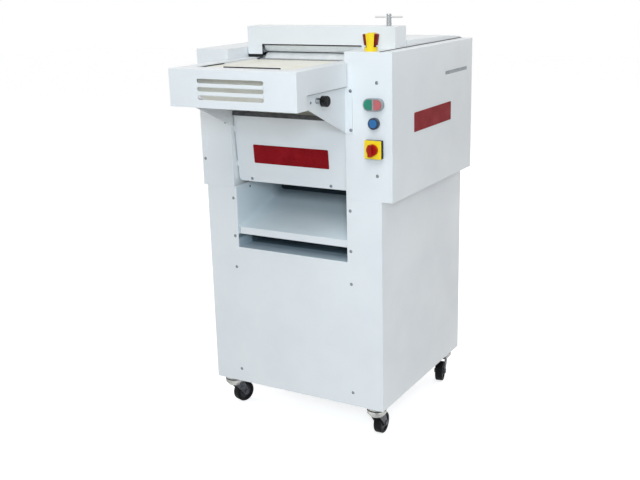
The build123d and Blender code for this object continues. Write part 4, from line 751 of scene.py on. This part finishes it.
def tray_beads():
    """One hollow-faced bead along each side of the sloping tray."""
    low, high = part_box("outlet_tray")
    start = Vector((0, low.y + BEAD_SUNK, low.z + TRAY_LIP))
    end = Vector((0, high.y, high.z))
    along = (end - start).normalized()
    up = Vector((0, -along.z, along.y))
    section = [(-BEAD_SUNK, -BEAD_SUNK), (BEAD_RADIUS, -BEAD_SUNK)]
    for step in range(BEAD_STEPS + 1):
        angle = math.radians(90 * step / BEAD_STEPS)
        section.append((BEAD_RADIUS * (1 - math.sin(angle)), BEAD_RADIUS * (1 - math.cos(angle))))
    section.append((-BEAD_SUNK, BEAD_RADIUS))
    runs = []
    for wall, inward in ((low.x, RIGHT), (high.x, LEFT)):
        foot = Vector((wall, 0, 0))
        runs.append([[foot + spot + inward * u + up * v for u, v in section] for spot in (start, end)])
    mesh = lofted("tray_beads", runs)
    mesh.materials.append(SHADED_CHANNEL)
    smooth(mesh)
    add_piece("tray_beads", mesh, "machine")


tray_beads()


# Flared collar of the emergency stop: two guard bars above a shallow cup
COLLAR_FOOT_RADIUS = 16 * MM
COLLAR_WALL = 2 * MM
COLLAR_FLOOR = 4 * MM
COLLAR_STEM_HOLE = 7 * MM
COLLAR_STEPS = 72
COLLAR_EDGE = 0.4 * MM
GUARD_FOOT = 10 * MM
GUARD_HEADING = 18
WINDOW_HALF_ANGLE = 59
WINDOW_STEPS = 12
WINDOW_REACH = (9 * MM, 40 * MM)


def around(middle, degrees, radius, z):
    """Point at a heading counted from the front towards the control side."""
    angle = math.radians(degrees)
    return Vector((middle.x + radius * math.sin(angle), middle.y - radius * math.cos(angle), z))


def estop_collar():
    """A cup turned from a section, with a window cut between the guard bars on each side."""
    low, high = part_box("estop_collar")
    middle = (low + high) / 2
    height = high.z - low.z
    rim = (high.y - low.y) / 2
    floor_radius = COLLAR_FOOT_RADIUS + (rim - COLLAR_FOOT_RADIUS) * COLLAR_FLOOR / height
    section = [
        (COLLAR_STEM_HOLE, 0), (COLLAR_FOOT_RADIUS, 0), (rim, height), (rim - COLLAR_WALL, height),
        (floor_radius - COLLAR_WALL, COLLAR_FLOOR), (COLLAR_STEM_HOLE, COLLAR_FLOOR),
    ]
    rows = []
    for step in range(COLLAR_STEPS):
        degrees = 360 * step / COLLAR_STEPS
        rows.append([around(middle, degrees, radius, low.z + rise) for radius, rise in section])
    cup = link("collar_cup", lofted("collar_cup", [rows], closed=True))
    near, far = WINDOW_REACH
    bottom, top = low.z + GUARD_FOOT, 2 * high.z
    corners = [(near, bottom), (far, bottom), (far, top), (near, top)]
    helpers = [cup]
    for side in (-90, 90):
        rows = []
        for step in range(WINDOW_STEPS + 1):
            degrees = GUARD_HEADING + side + WINDOW_HALF_ANGLE * (2 * step / WINDOW_STEPS - 1)
            rows.append([around(middle, degrees, radius, z) for radius, z in corners])
        cut = cup.modifiers.new("window", "BOOLEAN")
        cut.operation = "DIFFERENCE"
        cut.solver = "EXACT"
        cut.object = link("collar_window", lofted("collar_window", [rows]))
        helpers.append(cut.object)
    bpy.context.view_layer.update()
    mesh = bpy.data.meshes.new_from_object(cup.evaluated_get(bpy.context.evaluated_depsgraph_get()))
    for helper in helpers:
        bpy.data.objects.remove(helper)
    mesh.materials.clear()
    mesh.materials.append(YELLOW_PLASTIC)
    smooth(mesh)
    piece = add_piece("guarded_collar", mesh, "machine")
    round_edges(piece, "moulded_edge", COLLAR_EDGE)
    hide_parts("estop_collar")


estop_collar()


# Mushroom of the emergency stop: its two lobes fill the windows between the guard bars
LOBE_HALF_ANGLE = 54
LOBE_STEPS = 96
LOBE_FOOT = 15 * MM
LOBE_CROWN = 2 * MM
LOBE_GAP = 0.3 * MM
MUSHROOM_INSET = 4.2 * MM
MUSHROOM_STEM = 6 * MM


def estop_mushroom():
    """A stem, a plain cone behind the guard bars and two lobes that follow the collar's flare."""
    collar_low, collar_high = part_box("estop_collar")
    low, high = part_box("estop_button")
    middle = (collar_low + collar_high) / 2
    rim = (collar_high.y - collar_low.y) / 2
    slope = (rim - COLLAR_FOOT_RADIUS) / (collar_high.z - collar_low.z)

    def ring(z, stem=False, lobed=False, inset=0.0):
        """Points around the mushroom at a height."""
        points = []
        for step in range(LOBE_STEPS):
            degrees = 360 * step / LOBE_STEPS
            off_guard = abs((degrees - GUARD_HEADING) % 180 - 90)
            gap = LOBE_GAP if lobed and off_guard < LOBE_HALF_ANGLE else MUSHROOM_INSET
            radius = COLLAR_FOOT_RADIUS + slope * (z - collar_low.z) - gap - inset
            points.append(around(middle, degrees, MUSHROOM_STEM if stem else radius, z))
        return points

    foot = collar_low.z + GUARD_FOOT
    lobe = collar_low.z + LOBE_FOOT
    rows = [
        ring(low.z, stem=True), ring(foot, stem=True), ring(foot), ring(lobe), ring(lobe, lobed=True),
        ring(high.z - LOBE_CROWN, lobed=True), ring(high.z, lobed=True, inset=LOBE_CROWN),
    ]
    mesh = lofted("lobed_mushroom", [rows])
    mesh.materials.append(MUSHROOM_RED)
    smooth(mesh)
    piece = add_piece("lobed_mushroom", mesh, "estop_button")
    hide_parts("estop_button")


estop_mushroom()


# Repeated pieces: each kind comes from one geometry node tree
SCREW_SEED = 7
HEAD_SEGMENTS = 28
HEAD_RINGS = 14


def add_node(tree, kind, **links):
    """A node whose inputs are linked to sockets or set to values."""
    node = tree.nodes.new(kind)
    for name, source in links.items():
        socket = node.inputs[name.replace("_", " ")]
        if isinstance(source, bpy.types.NodeSocket):
            tree.links.new(source, socket)
        else:
            socket.default_value = source
    return node


def vector_of(tree, **axes):
    """A vector made of values along X, Y and Z."""
    return add_node(tree, "ShaderNodeCombineXYZ", **axes).outputs["Vector"]


def new_tree(name, sizes, counts):
    """An empty tree with named inputs, and its input and output sockets."""
    tree = bpy.data.node_groups.new(name, "GeometryNodeTree")
    sockets = tree.interface
    sockets.new_socket("Points", in_out="INPUT", socket_type="NodeSocketGeometry")
    for size in sizes:
        sockets.new_socket(size, in_out="INPUT", socket_type="NodeSocketFloat")
    for count in counts:
        sockets.new_socket(count, in_out="INPUT", socket_type="NodeSocketInt")
    sockets.new_socket("Finish", in_out="INPUT", socket_type="NodeSocketMaterial")
    sockets.new_socket("Pieces", in_out="OUTPUT", socket_type="NodeSocketGeometry")
    return tree, tree.nodes.new("NodeGroupInput").outputs, tree.nodes.new("NodeGroupOutput").inputs


def finish_tree(tree, given, result, pieces):
    """Make the pieces real and give them their finish."""
    real = add_node(tree, "GeometryNodeRealizeInstances", Geometry=pieces).outputs["Geometry"]
    done = add_node(tree, "GeometryNodeSetMaterial", Geometry=real, Material=given["Finish"])
    tree.links.new(done.outputs["Geometry"], result["Pieces"])
    return tree


def baked(name, points, tree, values):
    """Run a tree on a mesh of points and return the plain mesh that it makes."""
    holder = link(name + "_points", points)
    layer = holder.modifiers.new("pieces", "NODES")
    layer.node_group = tree
    for item in tree.interface.items_tree:
        if item.in_out == "INPUT" and item.name in values:
            layer[item.identifier] = values[item.name]
    bpy.context.view_layer.update()
    made = bpy.data.meshes.new_from_object(holder.evaluated_get(bpy.context.evaluated_depsgraph_get()))
    bpy.data.objects.remove(holder)
    made.name = name
    return made


def screw_tree():
    """A domed head with a cross recess on every point, each turned by chance."""
    sizes = ("Head radius", "Head height", "Recess length", "Recess width")
    tree, given, result = new_tree("screws_on_points", sizes, ("Seed",))
    radius, height = given["Head radius"], given["Head height"]
    ball = add_node(
        tree, "GeometryNodeMeshUVSphere", Segments=HEAD_SEGMENTS, Rings=HEAD_RINGS, Radius=1.0
    )
    dome_size = vector_of(tree, X=radius, Y=radius, Z=height)
    dome = add_node(tree, "GeometryNodeTransform", Geometry=ball.outputs["Mesh"], Scale=dome_size)
    bars = tree.nodes.new("GeometryNodeJoinGeometry")
    lift = vector_of(tree, Z=height)
    for first, second in (("Recess length", "Recess width"), ("Recess width", "Recess length")):
        size = vector_of(tree, X=given[first], Y=given[second], Z=height)
        bar = add_node(tree, "GeometryNodeMeshCube", Size=size).outputs["Mesh"]
        raised = add_node(tree, "GeometryNodeTransform", Geometry=bar, Translation=lift)
        tree.links.new(raised.outputs["Geometry"], bars.inputs["Geometry"])
    cut = tree.nodes.new("GeometryNodeMeshBoolean")
    cut.operation = "DIFFERENCE"
    tree.links.new(dome.outputs["Geometry"], cut.inputs["Mesh 1"])
    tree.links.new(bars.outputs["Geometry"], cut.inputs["Mesh 2"])
    facing = tree.nodes.new("GeometryNodeInputNamedAttribute")
    facing.data_type = "FLOAT_VECTOR"
    facing.inputs["Name"].default_value = "facing"
    aim = add_node(tree, "FunctionNodeAlignRotationToVector", Vector=facing.outputs["Attribute"])
    aim.axis = "Z"
    chance = tree.nodes.new("FunctionNodeRandomValue")
    chance.data_type = "FLOAT"
    limits = [socket for socket in chance.inputs if socket.type == "VALUE"]
    limits[1].default_value = math.pi
    tree.links.new(given["Seed"], chance.inputs["Seed"])
    angle = [socket for socket in chance.outputs if socket.type == "VALUE"][0]
    spin = vector_of(tree, Z=angle)
    turned = add_node(
        tree, "FunctionNodeRotateRotation", Rotation=aim.outputs["Rotation"], Rotate_By=spin
    )
    turned.rotation_space = "LOCAL"
    points = add_node(tree, "GeometryNodeMeshToPoints", Mesh=given["Points"])
    heads = add_node(
        tree,
        "GeometryNodeInstanceOnPoints",
        Points=points.outputs["Points"],
        Instance=cut.outputs["Mesh"],
        Rotation=turned.outputs["Rotation"],
    )
    return finish_tree(tree, given, result, heads.outputs["Instances"])


def rib_tree():
    """A wedge-shaped rib on every point, all the same way up."""
    tree, given, result = new_tree("ribs_on_points", ("Rib height", "Rib width", "Rib depth"), ())
    prism = add_node(tree, "GeometryNodeMeshCylinder", Vertices=3, Radius=1.0, Depth=1.0)
    size = vector_of(tree, X=given["Rib depth"], Y=given["Rib width"], Z=given["Rib height"])
    rib = add_node(tree, "GeometryNodeTransform", Geometry=prism.outputs["Mesh"], Scale=size)
    points = add_node(tree, "GeometryNodeMeshToPoints", Mesh=given["Points"])
    ribs = add_node(
        tree,
        "GeometryNodeInstanceOnPoints",
        Points=points.outputs["Points"],
        Instance=rib.outputs["Geometry"],
    )
    return finish_tree(tree, given, result, ribs.outputs["Instances"])


SCREWS = screw_tree()
RIBS = rib_tree()


# Grey ribbed strip in the vent slot of the right side cover
VENT_MIDDLE = (277 * MM, 994 * MM)
VENT_SPAN = 156 * MM
VENT_RISE = 9.4 * MM
VENT_DEPTH = 1.2 * MM
VENT_RIBS = 52
RIB_WIDTH_SHARE = 0.58
RIB_DEPTH_SHARE = 0.8


def vent_strip():
    """Ribs side by side along the slot."""
    pitch = VENT_SPAN / VENT_RIBS
    first = VENT_MIDDLE[0] - VENT_SPAN / 2 + pitch / 2
    mesh = bpy.data.meshes.new("vent_ribs_points")
    x = side_x - VENT_DEPTH
    mesh.from_pydata([(x, first + pitch * rib, VENT_MIDDLE[1]) for rib in range(VENT_RIBS)], [], [])
    values = {
        "Rib height": VENT_RISE,
        "Rib width": pitch * RIB_WIDTH_SHARE,
        "Rib depth": VENT_DEPTH * RIB_DEPTH_SHARE,
        "Finish": VENT_GREY,
    }
    add_piece("vent_ribs", baked("vent_ribs", mesh, RIBS, values), "machine")


vent_strip()


# Screws: those of the solids, made again with a recess, and more on the back, gussets and outlet
SCREW_RADIUS = 4.5 * MM
SCREW_HEIGHT = 2.2 * MM
SMALL_SCREW_RADIUS = 3.6 * MM
SMALL_SCREW_HEIGHT = 1.8 * MM
RECESS_LENGTH_SHARE = 1.1
RECESS_WIDTH_SHARE = 0.26
SEAT_FACING = 0.9
BACK_SCREW_ROWS = 5
BACK_SCREW_INSET = 10 * MM
GUSSET_FLANGE = 20 * MM
GUSSET_SCREW = (-326 * MM, 969.5 * MM)
OUTLET_SCREW = (-79 * MM, 682.5 * MM)


def screws(name, places, radius, height):
    """Screw heads at places, a list of (seat, facing)."""
    mesh = bpy.data.meshes.new(name + "_points")
    mesh.from_pydata([seat for seat, facing in places], [], [])
    stored = mesh.attributes.new("facing", "FLOAT_VECTOR", "POINT")
    stored.data.foreach_set("vector", [value for seat, facing in places for value in facing])
    values = {
        "Head radius": radius,
        "Head height": height,
        "Recess length": radius * RECESS_LENGTH_SHARE,
        "Recess width": radius * RECESS_WIDTH_SHARE,
        "Seed": SCREW_SEED,
        "Finish": SCREW_STEEL,
    }
    return add_piece(name, baked(name, mesh, SCREWS, values), "machine")


def seats_of(name):
    """Seat and facing of each separate screw head in a node."""
    shape = bmesh.new()
    shape.from_mesh(nodes[name].data)
    bmesh.ops.remove_doubles(shape, verts=shape.verts, dist=WELD_REACH)
    left = set(shape.faces)
    places = []
    while left:
        group = {left.pop()}
        edge = list(group)
        while edge:
            face = edge.pop()
            near = {other for line in face.edges for other in line.link_faces} & left
            left -= near
            group |= near
            edge += near
        seat = Vector()
        inward = Vector()
        area = 0.0
        for face in group:
            if face.normal.y > SEAT_FACING:
                size = face.calc_area()
                seat += face.calc_center_median() * size
                inward += face.normal * size
                area += size
        places.append((seat / area, -inward.normalized()))
    shape.free()
    return places


def back_seats():
    """Rows of screws down the edges of the two back panels."""
    head_low, head_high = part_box("left_side_cover")
    right_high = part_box("right_side_cover")[1]
    base_low, base_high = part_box("base_floor")
    side_low, side_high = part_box("base_side_panels")
    head_columns = (head_low.x + BACK_SCREW_INSET, right_high.x - BACK_SCREW_INSET)
    base_columns = (base_low.x + BACK_SCREW_INSET, base_high.x - BACK_SCREW_INSET)
    seats = []
    for row in range(BACK_SCREW_ROWS):
        share = (row + 0.5) / BACK_SCREW_ROWS
        head_z = head_low.z + (head_high.z - head_low.z) * share
        base_z = side_low.z + (side_high.z - side_low.z) * share
        seats += [(x, head_high.y, head_z) for x in head_columns]
        seats += [(x, base_high.y + SHEET_THICK, base_z) for x in base_columns]
    return [(Vector(seat), BACK) for seat in seats]


def side_seats():
    """One screw on each gusset's outer face and one on each wall of the outlet."""
    gusset_low, gusset_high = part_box("gussets")
    liner_low, liner_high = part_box("outlet_liner")
    return [
        (Vector((gusset_high.x - GUSSET_FLANGE, *GUSSET_SCREW)), RIGHT),
        (Vector((gusset_low.x + GUSSET_FLANGE, *GUSSET_SCREW)), LEFT),
        (Vector((liner_low.x + SHEET_THICK, *OUTLET_SCREW)), RIGHT),
        (Vector((liner_high.x - SHEET_THICK, *OUTLET_SCREW)), LEFT),
    ]


fronts = screws("front_screws", seats_of("cover_screws"), SCREW_RADIUS, SCREW_HEIGHT)
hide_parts("cover_screws")
screws("back_screws", back_seats(), SMALL_SCREW_RADIUS, SMALL_SCREW_HEIGHT)
screws("side_screws", side_seats(), SMALL_SCREW_RADIUS, SMALL_SCREW_HEIGHT)


# Camera: fitted to the photograph's perspective, with angles in degrees
CAMERA_PLACE = (1.34156, -2.30430, 1.26792)
CAMERA_TURN = 30.30
CAMERA_DIP = 15.62
CAMERA_ROLL = -1.44
CAMERA_LENS = 53.36
SENSOR_WIDTH = 36.0
CAMERA_FAR = 50.0


def photo_camera():
    """The camera, turned about the vertical, dipped and rolled."""
    turn = math.radians(CAMERA_TURN)
    dip = math.radians(CAMERA_DIP)
    roll = math.radians(CAMERA_ROLL)
    ahead = Vector((-math.sin(turn) * math.cos(dip), math.cos(turn) * math.cos(dip), -math.sin(dip)))
    level = Vector((math.cos(turn), math.sin(turn), 0.0))
    upright = level.cross(ahead)
    right = math.cos(roll) * level + math.sin(roll) * upright
    up = -math.sin(roll) * level + math.cos(roll) * upright
    data = bpy.data.cameras.new("photo_camera")
    data.sensor_width = SENSOR_WIDTH
    data.lens = CAMERA_LENS
    data.clip_end = CAMERA_FAR
    camera = link("photo_camera", data)
    turned = Matrix((right, up, -ahead)).transposed().to_4x4()
    camera.matrix_world = Matrix.Translation(CAMERA_PLACE) @ turned
    bpy.context.scene.camera = camera


photo_camera()


# Light: a pale room, a lamp above the camera, a large soft one overhead, and weak fills for the far sides
COOL_WHITE = (0.76, 0.91, 1.0)
PLAIN_WHITE = (1.0, 1.0, 1.0)
ROOM_LIGHT = 0.355
FLOOR_LIFT = 0.7
FLOOR_REACH = 12.0
HEAD_FRONT = (0, -0.1, 0.7)
HEAD_MIDDLE = (0, 0, 0.7)
BODY_MIDDLE = (0, 0.1, 0.6)


def soft_lamp(name, where, aim, size, watts, colour):
    """A square lamp that looks at a point."""
    data = bpy.data.lights.new(name, "AREA")
    data.size = size
    data.energy = watts
    data.color = colour
    lamp = link(name, data)
    lamp.location = where
    lamp.rotation_euler = (Vector(aim) - Vector(where)).to_track_quat("-Z", "Y").to_euler()


def shown(tree):
    """1 for what the camera sees straight, mirrored or through glass, and 0 for light."""
    path = tree.nodes.new("ShaderNodeLightPath").outputs
    seen = combine(tree, "MAXIMUM", path["Is Camera Ray"], path["Is Glossy Ray"])
    return combine(tree, "MAXIMUM", seen, path["Is Transmission Ray"])


def pale_room(strength):
    """White where it is shown, dimmer as a light."""
    world = bpy.data.worlds.new("pale_room")
    bpy.context.scene.world = world
    world.use_nodes = True
    tree = world.node_tree
    back = tree.nodes["Background"]
    back.inputs["Color"].default_value = (1, 1, 1, 1)
    level = spread(tree, shown(tree), low=strength, high=1.0, start=0.0, end=1.0)
    tree.links.new(level, back.inputs["Strength"])


def pale_floor(lift):
    """White floor that keeps the shadow; lift brings its lit part up to white where it is shown."""
    mesh = bpy.data.meshes.new("floor")
    corners = [(FLOOR_REACH * x, FLOOR_REACH * y, 0) for x, y in ((-1, -1), (1, -1), (1, 1), (-1, 1))]
    mesh.from_pydata(corners, [], [(0, 1, 2, 3)])
    floor = link("floor", mesh)
    material, tree, shader = new_finish("pale_floor", roughness=0.9)
    grain = noise(tree, place(tree), scale=3.0)
    colours = [(0.3, srgb(212, 212, 212)), (0.7, srgb(216, 216, 216))]
    tree.links.new(ramp(tree, grain, colours), shader.inputs["Base Color"])
    shader.inputs["Emission Color"].default_value = (1, 1, 1, 1)
    tree.links.new(combine(tree, "MULTIPLY", shown(tree), lift), shader.inputs["Emission Strength"])
    mesh.materials.append(material)


soft_lamp("camera_side_lamp", (1.37, -2.36, 1.62), HEAD_FRONT, size=0.5, watts=29, colour=COOL_WHITE)
soft_lamp("ceiling_lamp", (0.8, -2.0, 3.8), HEAD_MIDDLE, size=2.4, watts=62, colour=PLAIN_WHITE)
soft_lamp("back_fill_lamp", (0.9, 3.7, 1.9), BODY_MIDDLE, size=2.0, watts=40, colour=PLAIN_WHITE)
soft_lamp("left_fill_lamp", (-3.8, 0.2, 1.9), BODY_MIDDLE, size=2.0, watts=44, colour=PLAIN_WHITE)
pale_room(ROOM_LIGHT)
pale_floor(FLOOR_LIFT)
bpy.context.scene.view_settings.view_transform = "Standard"
